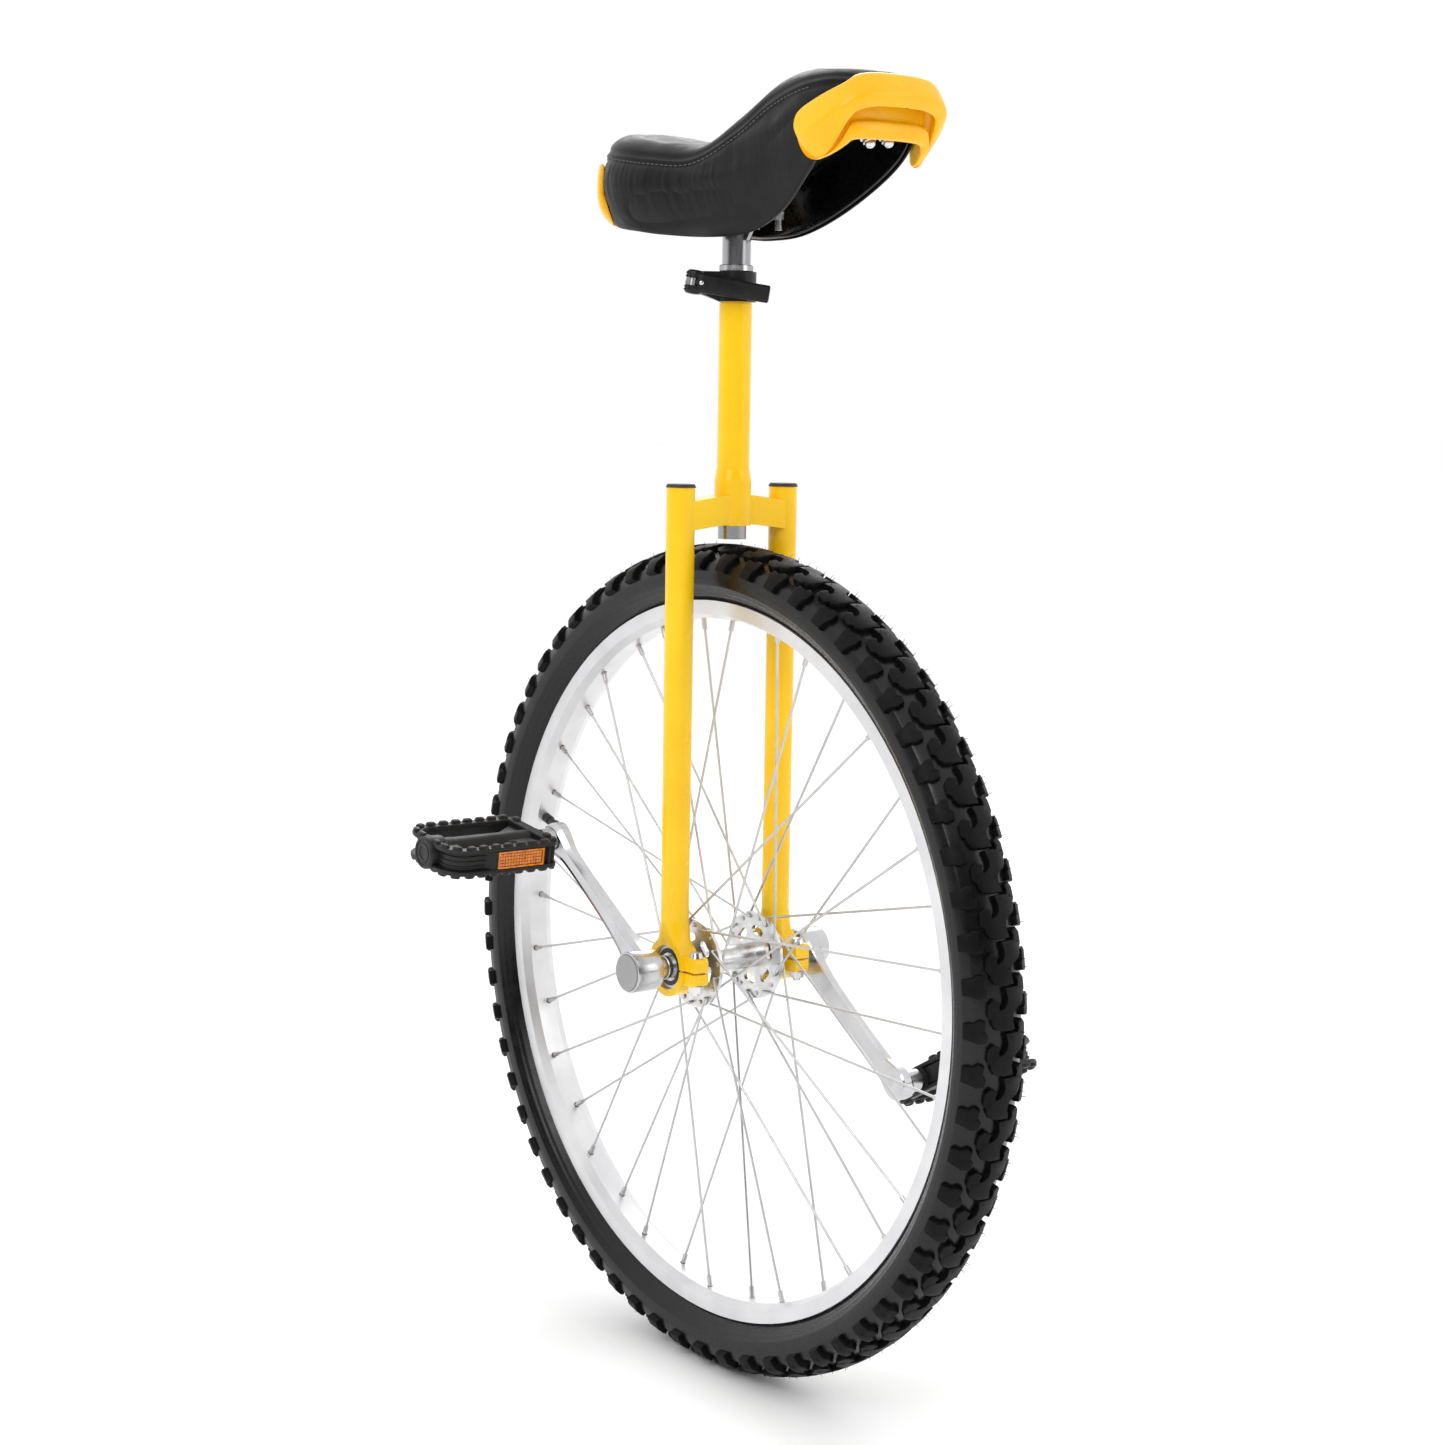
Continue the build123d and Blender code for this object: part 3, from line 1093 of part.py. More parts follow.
with BuildPart() as crank_bolts:
    for side in SIDES.values():
        with BuildSketch(side_plane(side, AXLE_END_Y - CRANK_BOLT_LENGTH)):
            Circle(CRANK_BOLT_RADIUS)
        extrude(amount=CRANK_BOLT_LENGTH)
        with BuildSketch(side_plane(side, AXLE_END_Y)):
            Circle(CRANK_WASHER_RADIUS)
        extrude(amount=CRANK_WASHER_THICKNESS)
        with BuildSketch(side_plane(side, AXLE_END_Y + CRANK_WASHER_THICKNESS)):
            RegularPolygon(CRANK_BOLT_HEAD_RADIUS, 6)
        extrude(amount=CRANK_BOLT_HEAD_LENGTH)
save(crank_bolts, "crank_bolts")
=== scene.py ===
"""The finished looks of a 26-inch unicycle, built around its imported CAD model.

Metres throughout; +X forward, +Y to the rider's left, +Z up; the ground is z = 0.
"""
import json
import math
import random

import bmesh
import bpy
from mathutils import Matrix, Vector, noise


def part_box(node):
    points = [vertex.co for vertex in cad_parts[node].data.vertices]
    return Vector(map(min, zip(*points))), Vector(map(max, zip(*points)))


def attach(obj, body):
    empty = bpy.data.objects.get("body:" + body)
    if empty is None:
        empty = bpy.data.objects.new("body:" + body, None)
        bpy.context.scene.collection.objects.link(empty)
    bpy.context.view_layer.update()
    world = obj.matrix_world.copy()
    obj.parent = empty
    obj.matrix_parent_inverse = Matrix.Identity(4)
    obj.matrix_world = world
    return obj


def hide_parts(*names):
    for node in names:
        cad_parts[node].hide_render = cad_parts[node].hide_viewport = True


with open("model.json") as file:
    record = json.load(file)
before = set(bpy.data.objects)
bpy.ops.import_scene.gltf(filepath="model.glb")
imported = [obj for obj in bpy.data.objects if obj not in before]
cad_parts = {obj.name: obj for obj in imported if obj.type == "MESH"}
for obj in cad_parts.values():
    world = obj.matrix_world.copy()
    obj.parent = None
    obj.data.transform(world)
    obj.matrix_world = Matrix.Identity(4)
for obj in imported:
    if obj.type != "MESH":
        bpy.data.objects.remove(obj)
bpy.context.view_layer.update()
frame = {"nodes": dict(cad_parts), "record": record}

MM = 0.001
NODES = frame["nodes"]
TYRE_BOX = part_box("tyre")
AXLE_Z = (TYRE_BOX[0][2] + TYRE_BOX[1][2]) / 2
TYRE_RADIUS = TYRE_BOX[1][2] - AXLE_Z
SIDES = {"right": -1, "left": 1}


# ================================================================ materials
class Nodes:
    """A node tree with short calls for its nodes; each input takes a value or another socket."""

    def __init__(self, tree):
        self.tree = tree

    def feed(self, socket, value):
        if isinstance(value, bpy.types.NodeSocket):
            self.tree.links.new(value, socket)
        else:
            socket.default_value = value

    def node(self, kind, **inputs):
        made = self.tree.nodes.new(kind)
        for socket, value in inputs.items():
            self.feed(made.inputs[socket.replace("_", " ")], value)
        return made

    def ramp(self, factor, low, high, low_value=0.0, high_value=1):
        return self.node("ShaderNodeMapRange", Value=factor, From_Min=low, From_Max=high,
                         To_Min=low_value, To_Max=high_value).outputs["Result"]


NOISE_ROUGHNESS = 0.55
NOISE_LOW, NOISE_HIGH = 0.3, 0.7


def material(name, base, roughness, first, second, patches, rough=None, bumps=(), metallic=0.0,
             **constants):
    """A Principled material whose colour goes from first to second in patches.

    A pattern is (scale, detail) of a noise, or of round cells where the detail is None. After
    it, patches has the pattern's (low, high), rough the (smoothest, roughest) of the surface and
    each of bumps its (depth, strength); rough and bumps may end with a stretch along the axes.
    """
    made = bpy.data.materials.new(name)
    made.use_nodes = True
    nodes = Nodes(made.node_tree)
    shader = nodes.tree.nodes["Principled BSDF"].inputs
    constants.update(Base_Color=(*base, 1), Roughness=roughness, Metallic=metallic)
    for socket, value in constants.items():
        shader[socket.replace("_", " ")].default_value = value
    coords = nodes.node("ShaderNodeTexCoord").outputs["Object"]

    def pattern(scale, detail, stretch=None):
        vector = coords
        if stretch:
            vector = nodes.node("ShaderNodeMapping", Vector=coords, Scale=stretch).outputs["Vector"]
        if detail is None:
            return nodes.node("ShaderNodeTexVoronoi", Vector=vector, Scale=scale).outputs["Distance"]
        return nodes.node("ShaderNodeTexNoise", Vector=vector, Scale=scale, Detail=detail,
                          Roughness=NOISE_ROUGHNESS).outputs["Fac"]

    scale, detail, low, high = patches
    mix = nodes.node("ShaderNodeMix")
    mix.data_type = "RGBA"
    nodes.feed(mix.inputs[0], nodes.ramp(pattern(scale, detail), low, high))
    nodes.feed(mix.inputs[6], (*first, 1))
    nodes.feed(mix.inputs[7], (*second, 1))
    nodes.feed(shader["Base Color"], mix.outputs[2])
    if rough:
        scale, detail, low, high, *stretch = rough
        haze = nodes.ramp(pattern(scale, detail, *stretch), NOISE_LOW, NOISE_HIGH, low, high)
        nodes.feed(shader["Roughness"], haze)
    normal = None
    for scale, detail, depth, strength, *stretch in bumps:
        bump = nodes.node("ShaderNodeBump", Height=pattern(scale, detail, *stretch),
                          Strength=strength, Distance=depth)
        if normal is not None:
            nodes.feed(bump.inputs["Normal"], normal)
        normal = bump.outputs["Normal"]
    nodes.feed(shader["Normal"], normal)
    return made


def tyre_rubber(name, light, dark, low, high, shine):
    """Moulded tyre rubber: fine grain, dusty bloom in places, softly shiny high spots."""
    return material(name, dark, 0.5, dark, light, (35, 5, 0.45, 0.75), (90, 4, low, high),
                    [(900, 3, 0.00015, 0.4), (160, 3, 0.0003, 0.3)],
                    Specular_IOR_Level=shine)


def chrome(name, tint, low, high, streak=None):
    """Plated chrome with faint polishing streaks and light handling haze."""
    return material(name, tint, low, tint, [0.82 * channel for channel in tint],
                    (26, 5, 0.4, 0.75), (50, 4, low, high, streak),
                    [(240, 3, 0.00006, 0.3, streak)], 1)


def plastic(name, light, dark, low, high, grain=0.0002, gloss=0.5):
    """Injection-moulded plastic with a spark-eroded grain."""
    return material(name, light, (low + high) / 2, light, dark, (18, 3, 0.35, 0.65),
                    (70, 4, low, high), [(1100, 2, grain, 0.45)], Specular_IOR_Level=gloss)


M = {
    # Gloss golden-yellow enamel: slight orange peel, a little darker where it pools.
    "paint": material("frame_paint", (1, 0.62, 0.008), 0.24, (1, 0.63, 0.009), (0.96, 0.55, 0.006),
                      (14, 3, 0.35, 0.7), (60, 4, 0.18, 0.30), [(420, 2, 0.00012, 0.25)],
                      Specular_IOR_Level=0.28, Coat_Weight=0.15, Coat_Roughness=0.06),
    "tyre": tyre_rubber("tyre_rubber", (0.0075, 0.0073, 0.0075), (0.0030, 0.0030, 0.0033),
                        0.40, 0.58, 0.13),
    "sidewall": tyre_rubber("sidewall_rubber", (0.0080, 0.0078, 0.0080), (0.0045, 0.0045, 0.0048),
                            0.18, 0.32, 0.32),
    # Plain soft rubber for the valve, the rim tape and the bearing seals.
    "rubber": material("black_rubber", (0.02, 0.02, 0.021), 0.5, (0.014, 0.014, 0.015),
                       (0.032, 0.032, 0.033), (120, 4, 0, 1), None, [(700, 4, 0.00012, 0.4)]),
    # Satin anodised alloy with fine machining lines round the braking faces.
    "rim": material("rim_alloy", (0.80, 0.80, 0.81), 0.38, (0.78, 0.78, 0.79), (0.66, 0.66, 0.68),
                    (22, 4, 0.3, 0.7), (40, 4, 0.30, 0.46),
                    [(6, 2, 0.00006, 0.35, (1, 260, 1))], 0.75),
    # Drawn and plated wire, a little duller in patches.
    "spoke": material("spoke_steel", (0.60, 0.60, 0.60), 0.32, (0.66, 0.66, 0.67), (0.47, 0.46, 0.45),
                      (30, 4, 0, 1), (80, 4, 0.24, 0.42), [(1200, 4, 0.00004, 0.3)], 1),
    # Bright zinc on pressed steel, with the faint spangle of the plating.
    "hub": material("hub_zinc", (0.68, 0.68, 0.68), 0.3, (0.76, 0.76, 0.76), (0.58, 0.58, 0.58),
                    (160, None, 0.0, 0.9), (70, 4, 0.20, 0.40), [(300, 4, 0.00008, 0.3)], 1),
    "axle": chrome("axle_steel", (0.55, 0.55, 0.56), 0.20, 0.36),
    # The seat post's chrome gets a darker colour than the other chrome: its plating plus a painted dark
    # reflection of its surroundings.
    "post": chrome("post_chrome", (0.36, 0.36, 0.37), 0.12, 0.26, (1, 1, 0.06)),
    "crank": chrome("crank_chrome", (0.58, 0.58, 0.59), 0.16, 0.30),
    "zinc": chrome("fastener_zinc", (0.72, 0.72, 0.72), 0.16, 0.32),
    # Anodised black: fine blast texture and patches rubbed a little lighter.
    "clamp": material("clamp_black", (0.006, 0.006, 0.0065), 0.36, (0.004, 0.004, 0.0045),
                      (0.012, 0.012, 0.0125), (50, 4, 0, 1), (140, 4, 0.28, 0.48),
                      [(900, 3, 0.00015, 0.4)], Specular_IOR_Level=0.3),
    "cap": plastic("cap_plastic", (0.022, 0.021, 0.022), (0.034, 0.032, 0.034), 0.42, 0.58, gloss=0.35),
    "crank_cap": plastic("crank_cap_grey", (0.36, 0.36, 0.365), (0.30, 0.30, 0.305), 0.30, 0.44, 0.0001),
    # Matt black vinyl with a pebbled leather grain, soft creases and a dull sheen.
    "vinyl": material("saddle_vinyl", (0.006, 0.006, 0.0063), 0.46, (0.0040, 0.0040, 0.0042),
                      (0.0085, 0.0085, 0.0088), (16, 4, 0.35, 0.7), (45, 5, 0.36, 0.54),
                      [(850, None, 0.00022, 0.45), (9, 5, 0.0011, 0.35, (6, 6, 1))],
                      Specular_IOR_Level=0.19),
    # Black sewing thread with its twist.
    "thread": material("stitch_thread", (0.12, 0.12, 0.125), 0.7, (0.07, 0.07, 0.072),
                       (0.17, 0.17, 0.175), (600, 4, 0, 1), None, [(2200, 4, 0.0002, 0.6)]),
    "pan": plastic("pan_plastic", (0.006, 0.006, 0.0065), (0.003, 0.003, 0.0035), 0.14, 0.26, 0.0001),
    "bumper": plastic("bumper_yellow", (1, 0.54, 0.009), (0.98, 0.47, 0.007), 0.18, 0.30, 0.00008, 0.32),
    "pedal": plastic("pedal_plastic", (0.009, 0.009, 0.0095), (0.017, 0.017, 0.0175), 0.36, 0.52, gloss=0.32),
    # Amber prismatic lens over moulded pyramids, a little cloudy in patches.
    "reflector": material("reflector_amber", (0.85, 0.25, 0.01), 0.14, (0.86, 0.27, 0.012),
                          (0.55, 0.13, 0.005), (260, 3, 0.35, 0.65), None,
                          [(900, 2, 0.0001, 0.4)], Specular_IOR_Level=0.9),
    "brass": material("cage_brass", (0.7, 0.5, 0.2), 0.35, (0.74, 0.56, 0.26), (0.58, 0.42, 0.18),
                      (90, 4, 0, 1), None, [(500, 4, 0.00008, 0.3)], 1),
    "foam": plastic("saddle_foam", (0.72, 0.68, 0.55), (0.62, 0.58, 0.46), 0.8, 0.95, 0.0006),
}

# The CAD parts of each material; a star stands for both sides.
CAD_MATERIALS = {
    "paint": "fork_leg_* bearing_holder_* fork_crown seat_tube",
    "tyre": "tyre",
    "rubber": "inner_tube rim_tape valve_stem valve_cap bearing_seals",
    "rim": "rim",
    "spoke": "spokes_* spoke_nipples",
    "hub": "hub_shell hub_flange_*",
    "axle": "axle bearing_inner_races bearing_outer_races bearing_balls_* pedal_spindle_*",
    "brass": "bearing_cage_*",
    "zinc": "pinch_bolts pinch_nuts clamp_skewer clamp_washer saddle_bolts saddle_nuts crank_bolts "
            "pedal_nut_*",
    "cap": "leg_top_caps",
    "crank_cap": "crank_cap_*",
    "clamp": "seat_clamp_collar quick_release_lever clamp_adjuster_nut",
    "post": "seat_post saddle_bracket",
    "crank": "crank_*",
    "vinyl": "saddle_cover",
    "foam": "saddle_foam",
    "pan": "saddle_base",
    "bumper": "front_bumper rear_bumper",
    "pedal": "pedal_body_* pedal_end_cap_*",
    "reflector": "pedal_reflectors_*",
}
for material_name, node_names in CAD_MATERIALS.items():
    for node_name in node_names.split():
        for side_name in SIDES if "*" in node_name else ("",):
            for material_slot in NODES[node_name.replace("*", side_name)].material_slots:
                material_slot.material = M[material_name]


# ================================================================ mesh helpers
def add_object(name, data):
    made = bpy.data.objects.new(name, data)
    bpy.context.scene.collection.objects.link(made)
    return made


def add_mesh(name, shape, material_name, body, smooth=True, sharp=None):
    """Make a mesh object from (verts, faces) that rides on a body."""
    verts, faces = shape
    mesh = bpy.data.meshes.new(name)
    mesh.from_pydata([tuple(v) for v in verts], [], faces)
    mesh.validate()
    tidy = bmesh.new()
    tidy.from_mesh(mesh)
    bmesh.ops.recalc_face_normals(tidy, faces=tidy.faces)
    tidy.to_mesh(mesh)
    tidy.free()
    mesh.materials.append(M[material_name])
    if smooth:
        mesh.shade_smooth()
    if sharp is not None:
        mesh.set_sharp_from_angle(angle=math.radians(sharp))
    piece = add_object(name, mesh)
    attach(piece, body)
    return piece


def join_rings(rings, loop_rings=False, loop_points=True, cap=False):
    """Faces between rings of equally many points; the rings are joined end to end if asked."""
    count = len(rings[0])
    verts = [point for ring in rings for point in ring]
    faces = []
    for i in range(len(rings) if loop_rings else len(rings) - 1):
        after = (i + 1) % len(rings)
        for j in range(count if loop_points else count - 1):
            k = (j + 1) % count
            faces.append((i * count + j, i * count + k, after * count + k, after * count + j))
    if cap:
        faces.append(tuple(range(count)))
        faces.append(tuple(reversed(range((len(rings) - 1) * count, len(rings) * count))))
    return verts, faces


def add_tube(verts, faces, rings, both_ends=False):
    """Add a tube through rings of points to a mesh, closed at its last ring or at both ends."""
    base, count = len(verts), len(rings[0])
    for ring in rings:
        verts += ring
    for low in range(base, len(verts) - count, count):
        for j in range(count):
            k = (j + 1) % count
            faces.append((low + j, low + k, low + count + k, low + count + j))
    if both_ends:
        faces.append(tuple(range(base + count - 1, base - 1, -1)))
    faces.append(tuple(range(len(verts) - count, len(verts))))


def gather(parts):
    """Join several (verts, faces) pairs into one."""
    verts, faces = [], []
    for part_verts, part_faces in parts:
        base = len(verts)
        verts += part_verts
        faces += [tuple(base + i for i in face) for face in part_faces]
    return verts, faces


def circle(count):
    """Evenly spaced angles of one whole turn."""
    return [math.tau * j / count for j in range(count)]


def lathe(place, profile, count=40):
    """Turn (radius, outward) points about the outward axis of place(across, outward, up)."""
    return join_rings([[place(r * math.cos(a), o, r * math.sin(a)) for a in circle(count)]
                       for r, o in profile], cap=True)


def rounded(corners, radius):
    """Replace each corner of a closed outline by two points, so that subdivision rounds it."""
    result = []
    count = len(corners)
    for i, (x, y) in enumerate(corners):
        for other in (corners[i - 1], corners[(i + 1) % count]):
            length = math.hypot(other[0] - x, other[1] - y)
            step = min(radius, 0.3 * length) / max(length, 1e-6)
            result.append((x + (other[0] - x) * step, y + (other[1] - y) * step))
    return result


def rounded_box(x0, y0, x1, y1, radius):
    return rounded(((x0, y0), (x1, y0), (x1, y1), (x0, y1)), radius)


def curve_at(table, x):
    """Smooth interpolation through (x, value) pairs that are in rising order of x."""
    if x <= table[0][0]:
        return table[0][1]
    if x >= table[-1][0]:
        return table[-1][1]
    index = max(i for i in range(len(table) - 1) if table[i][0] <= x)

    def slope(i):
        low, high = max(i - 1, 0), min(i + 1, len(table) - 1)
        return (table[high][1] - table[low][1]) / (table[high][0] - table[low][0])

    (x0, v0), (x1, v1) = table[index], table[index + 1]
    span = x1 - x0
    t = (x - x0) / span
    return ((2 * t**3 - 3 * t**2 + 1) * v0 + (t**3 - 2 * t**2 + t) * span * slope(index)
            + (-2 * t**3 + 3 * t**2) * v1 + (t**3 - t**2) * span * slope(index + 1))


def modify(piece, kind, **settings):
    """Bake one modifier into a piece's mesh."""
    made = piece.modifiers.new(kind.lower(), kind)
    for key, value in settings.items():
        setattr(made, key, value)
    shaped = piece.evaluated_get(bpy.context.evaluated_depsgraph_get())
    mesh = bpy.data.meshes.new_from_object(shaped)
    piece.modifiers.clear()
    piece.data = mesh


def subdivide(piece, levels):
    modify(piece, "SUBSURF", levels=levels, render_levels=levels)
    piece.data.shade_smooth()


def wheel_at(radius, turn, y):
    """A point in metres from millimetres: distance from the axle, angle in radians, and y."""
    return Vector((radius * math.cos(turn) * MM, y * MM, AXLE_Z + radius * math.sin(turn) * MM))


# ================================================================ tyre
PITCHES = 64
PITCH_ANGLE = math.tau / PITCHES
CROWN_RADIUS = 325.4
CROWN_DROP = 8.4
CROWN_HALF = 22
CROWN_STEPS_HALF = 11
WIDEST = 25.6
WIDEST_RADIUS = 303
BEAD_HALF = 13.1
BEAD_RADIUS = 286.2
SIDE_RINGS = 14
SIDE_RIB, RIBBED_RINGS = 0.45, (3, 4, 7, 10, 11)
KNOB_HEIGHT = 4.6


def carcass_half():
    """The tyre's outside from the middle of the tread to the bead, as (y, radius)."""
    points = []
    for step in range(CROWN_STEPS_HALF + 1):
        y = CROWN_HALF * step / CROWN_STEPS_HALF
        points.append((y, CROWN_RADIUS - CROWN_DROP * (y / CROWN_HALF) ** 2))
    points += [(22.7, 316.3), (23.3, 315.7), (23.5, 314.6), (24.2, 313.9), (24.3, 312.6), (24.9, 311.8),
               (25, 310.3), (25.5, 309.4), (25.45, 306.6)]
    for step in range(SIDE_RINGS + 1):
        t = 1 - step / SIDE_RINGS
        radius = BEAD_RADIUS + (WIDEST_RADIUS - BEAD_RADIUS) * t
        rib = SIDE_RIB if step in RIBBED_RINGS else 0.0
        points.append((BEAD_HALF + (WIDEST - BEAD_HALF) * math.sin(math.pi / 2 * t) + rib, radius))
    points += [(BEAD_HALF + 0.1, 285), (BEAD_HALF - 0.2, 281), (BEAD_HALF - 2.4, 280.4)]
    return points


HALF = carcass_half()


def tread_point(v, height):
    """A point on the tyre, v along its section from the middle and a height above the carcass."""
    left = abs(v)
    for (y0, r0), (y1, r1) in zip(HALF, HALF[1:]):
        length = math.hypot(y1 - y0, r1 - r0)
        if left <= length or (y1, r1) == HALF[-1]:
            break
        left -= length
    t = left / length
    normal = (-(r1 - r0) / length, (y1 - y0) / length)
    y = y0 + (y1 - y0) * t + normal[0] * height
    radius = r0 + (r1 - r0) * t + normal[1] * height
    return math.copysign(y, v) if abs(y) > 1e-9 else 0.0, radius


# Tread blocks in millimetres: (distance round the tyre within one pitch, distance across).
SHOULDER_KNOB = ((1, 16.5), (6.5, 15.5), (9, 18.2), (16.2, 17.2), (17.5, 21), (15.2, 24.5),
                 (15, 32.5), (3, 32.5), (2.6, 26), (0.0, 22))
ARROW_BLOCK = ((16.5, 12.8), (20, 16), (28.6, 15.4), (32.2, 11.6), (29.6, 7), (25.8, 8.2),
               (22, 6.6), (19.8, 10))
SCALE_BLOCK = ((0.8, 4.6), (2.2, 10.6), (6, 13.2), (11, 13), (14.6, 9.8), (16.8, 4.8),
               (20, 2.2), (27.4, 1.8), (31.4, 3.4), (31.6, -4.6), (30.2, -10.6), (26.4, -13.2),
               (21.4, -13), (17.8, -9.8), (15.6, -4.8), (12.4, -2.2), (5, -1.8), (1, -3.4))
GROOVE_DRAFT = 0.03
BLOCK_ROOT = -0.6
TOP_RINGS = ((1, 0.55), (0.985, 0.15), (0.955, 0.0), (0.75, 0.0), (0.5, 0.0), (0.25, 0.0))
LONGEST_SIDE = 4.5


def refined(outline):
    """Put extra corners into the long sides of an outline, so that it follows the tyre's curve."""
    points = []
    for (x0, y0), (x1, y1) in zip(outline, outline[1:] + outline[:1]):
        parts = max(1, math.ceil(math.hypot(x1 - x0, y1 - y0) / LONGEST_SIDE))
        for step in range(parts):
            t = step / parts
            points.append((x0 + (x1 - x0) * t, y0 + (y1 - y0) * t))
    return points


def add_block(verts, faces, outline, start, mirror, height):
    """Add one tread block: drafted sides, a rounded top edge and a top that follows the tyre."""
    points = refined(outline)
    middle_x = sum(p[0] for p in points) / len(points)
    middle_y = sum(p[1] for p in points) / len(points)
    rings = []
    for size, lift in [(1 + GROOVE_DRAFT, BLOCK_ROOT)] + [(size, height - drop) for size, drop in TOP_RINGS]:
        ring = []
        for x, y in points:
            along = middle_x + (x - middle_x) * size
            across = middle_y + (y - middle_y) * size
            y, radius = tread_point(mirror * across, lift)
            ring.append(wheel_at(radius, start + along * MM / TYRE_RADIUS, y))
        rings.append(ring)
    add_tube(verts, faces, rings)


# Where the moulding hairs stand in each pitch: (across, along, greatest length).
HAIR_PLACES = ((-28.5, 4, 3.6), (-27, 13.5, 3.2), (-19, 8, 3), (-12, 22, 3.2),
               (-9, 10, 3), (0.5, 4, 3.4), (0.0, 20, 3.4), (9, 26, 4), (11, 6, 4),
               (18.5, 25, 4.6), (21, 31, 4.6), (24.5, 18.5, 4.6), (28, 28, 4))
HAIR_SHARE = 0.86
GROUND_TURN, GROUND_CLEARANCE = 1.5 * math.pi, 0.09
HAIR_RADIUS = 0.32
HAIR_LEAN = 1.8
HAIR_SIDES, HAIR_JOINTS = 4, 3


def add_hair(verts, faces, turn, across, length, lean):
    """Add one moulding hair, a thin bent spike of rubber."""
    base_height = KNOB_HEIGHT - 0.3 if abs(across) < 26 else 2
    rings = []
    for level in range(HAIR_JOINTS + 1):
        part = level / HAIR_JOINTS
        radius = HAIR_RADIUS * (1 - 0.75 * part)
        y, r = tread_point(across, base_height + length * part)
        bend = lean * part * part
        ring = []
        for a in circle(HAIR_SIDES):
            ring.append(wheel_at(r, turn + (bend + radius * math.cos(a)) * MM / TYRE_RADIUS,
                                 y + radius * math.sin(a) + lean * 0.3 * part))
        rings.append(ring)
    add_tube(verts, faces, rings)


def build_tyre():
    inner = [(BEAD_HALF - 2.4, 286), (20.5, 296), (22.2, 306), (20, 316), (0.0, 321.5)]
    outline = HALF + inner
    outline += [(-y, r) for y, r in reversed(inner[:-1])] + [(-y, r) for y, r in reversed(HALF[1:])]
    steps = PITCHES * 5
    rings = [[wheel_at(r, math.tau * i / steps, y) for y, r in outline] for i in range(steps)]
    carcass = add_mesh("tyre_carcass", join_rings(rings, loop_rings=True), "sidewall", "wheel", sharp=50)

    rng = random.Random(26)
    verts, faces = [], []
    for i in range(PITCHES):
        start = i * PITCH_ANGLE
        for mirror, begin in ((-1, start), (1, start + 0.5 * PITCH_ANGLE)):
            add_block(verts, faces, SHOULDER_KNOB, begin, mirror, KNOB_HEIGHT - 0.4)
            add_block(verts, faces, ARROW_BLOCK, begin, mirror, KNOB_HEIGHT - 0.2)
        add_block(verts, faces, SCALE_BLOCK, start + 0.25 * PITCH_ANGLE, -1, KNOB_HEIGHT)
    tread = add_mesh("tyre_tread", (verts, faces), "tyre", "wheel", sharp=40)

    verts, faces = [], []
    for i in range(PITCHES):
        for across, along, longest in HAIR_PLACES:
            turn = i * PITCH_ANGLE + along * MM / TYRE_RADIUS
            if rng.random() < HAIR_SHARE and abs(turn - GROUND_TURN) > GROUND_CLEARANCE:
                lean = rng.uniform(-HAIR_LEAN, HAIR_LEAN)
                add_hair(verts, faces, turn, across, rng.uniform(0.5, 1) * longest, lean)
    hairs = add_mesh("tyre_hairs", (verts, faces), "sidewall", "wheel")
    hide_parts("tyre")


build_tyre()


# ================================================================ saddle
# Stations along the saddle in millimetres: (x, bottom half-width, bottom height,
# greatest half-width, its height, top height), heights above the axle.
SADDLE = (
    (-139, 8, 597, 11, 611, 626),
    (-134, 16, 590, 22, 611, 637),
    (-120, 31, 582, 41, 610, 649),
    (-104, 42, 577, 54, 609, 652),
    (-85, 50, 573, 64.5, 607, 650),
    (-62, 51, 570, 68, 605, 646),
    (-40, 45, 567, 65, 603, 642),
    (5, 32, 564, 54, 602, 638),
    (50, 27, 566, 47, 611, 661),
    (90, 30, 579, 46, 630, 680),
    (125, 38, 600, 49, 645, 683),
    (148, 41, 618, 48, 653, 681),
    (166, 34, 634, 42, 657, 678),
    (177, 20, 648, 28, 660, 672),
    (180.5, 8, 655, 11, 661, 667),
)
SEAM_WIDTH_SHARE = 0.90
SEAM_HEIGHT_SHARE = 0.50
SKIRT_STEPS = 12
SIDE_STEPS = 5
CROWN_STEPS = 12
SEAM_INDEX = SKIRT_STEPS + SIDE_STEPS
CROWN_FULLNESS = 0.92
COVER_THICKNESS = 2.4
PAN_RISE = 1.2
CLOTH_FRAMES = 20
LARGEST_SWELL = 5 * MM
GATHER_DEPTH = 46
STITCH_LENGTH, STITCH_RADIUS, STITCH_PITCH = 3.1, 0.42, 4.6
LAST_STITCH = 139
# Along a stitch: (share of its length, thickness, height above the vinyl in radii).
STITCH_RINGS = ((0.0, 0.3, -0.25), (0.12, 0.9, 0.3), (0.5, 1, 0.5), (0.88, 0.9, 0.3), (1, 0.3, -0.25))


def saddle_values(x):
    return [curve_at([(row[0], row[column]) for row in SADDLE], x) for column in range(1, 6)]

def seam_point(x):
    """The seam's (half-width, height) at x."""
    _, _, wide, wide_z, top_z = saddle_values(x)
    return SEAM_WIDTH_SHARE * wide, wide_z + SEAM_HEIGHT_SHARE * (top_z - wide_z)


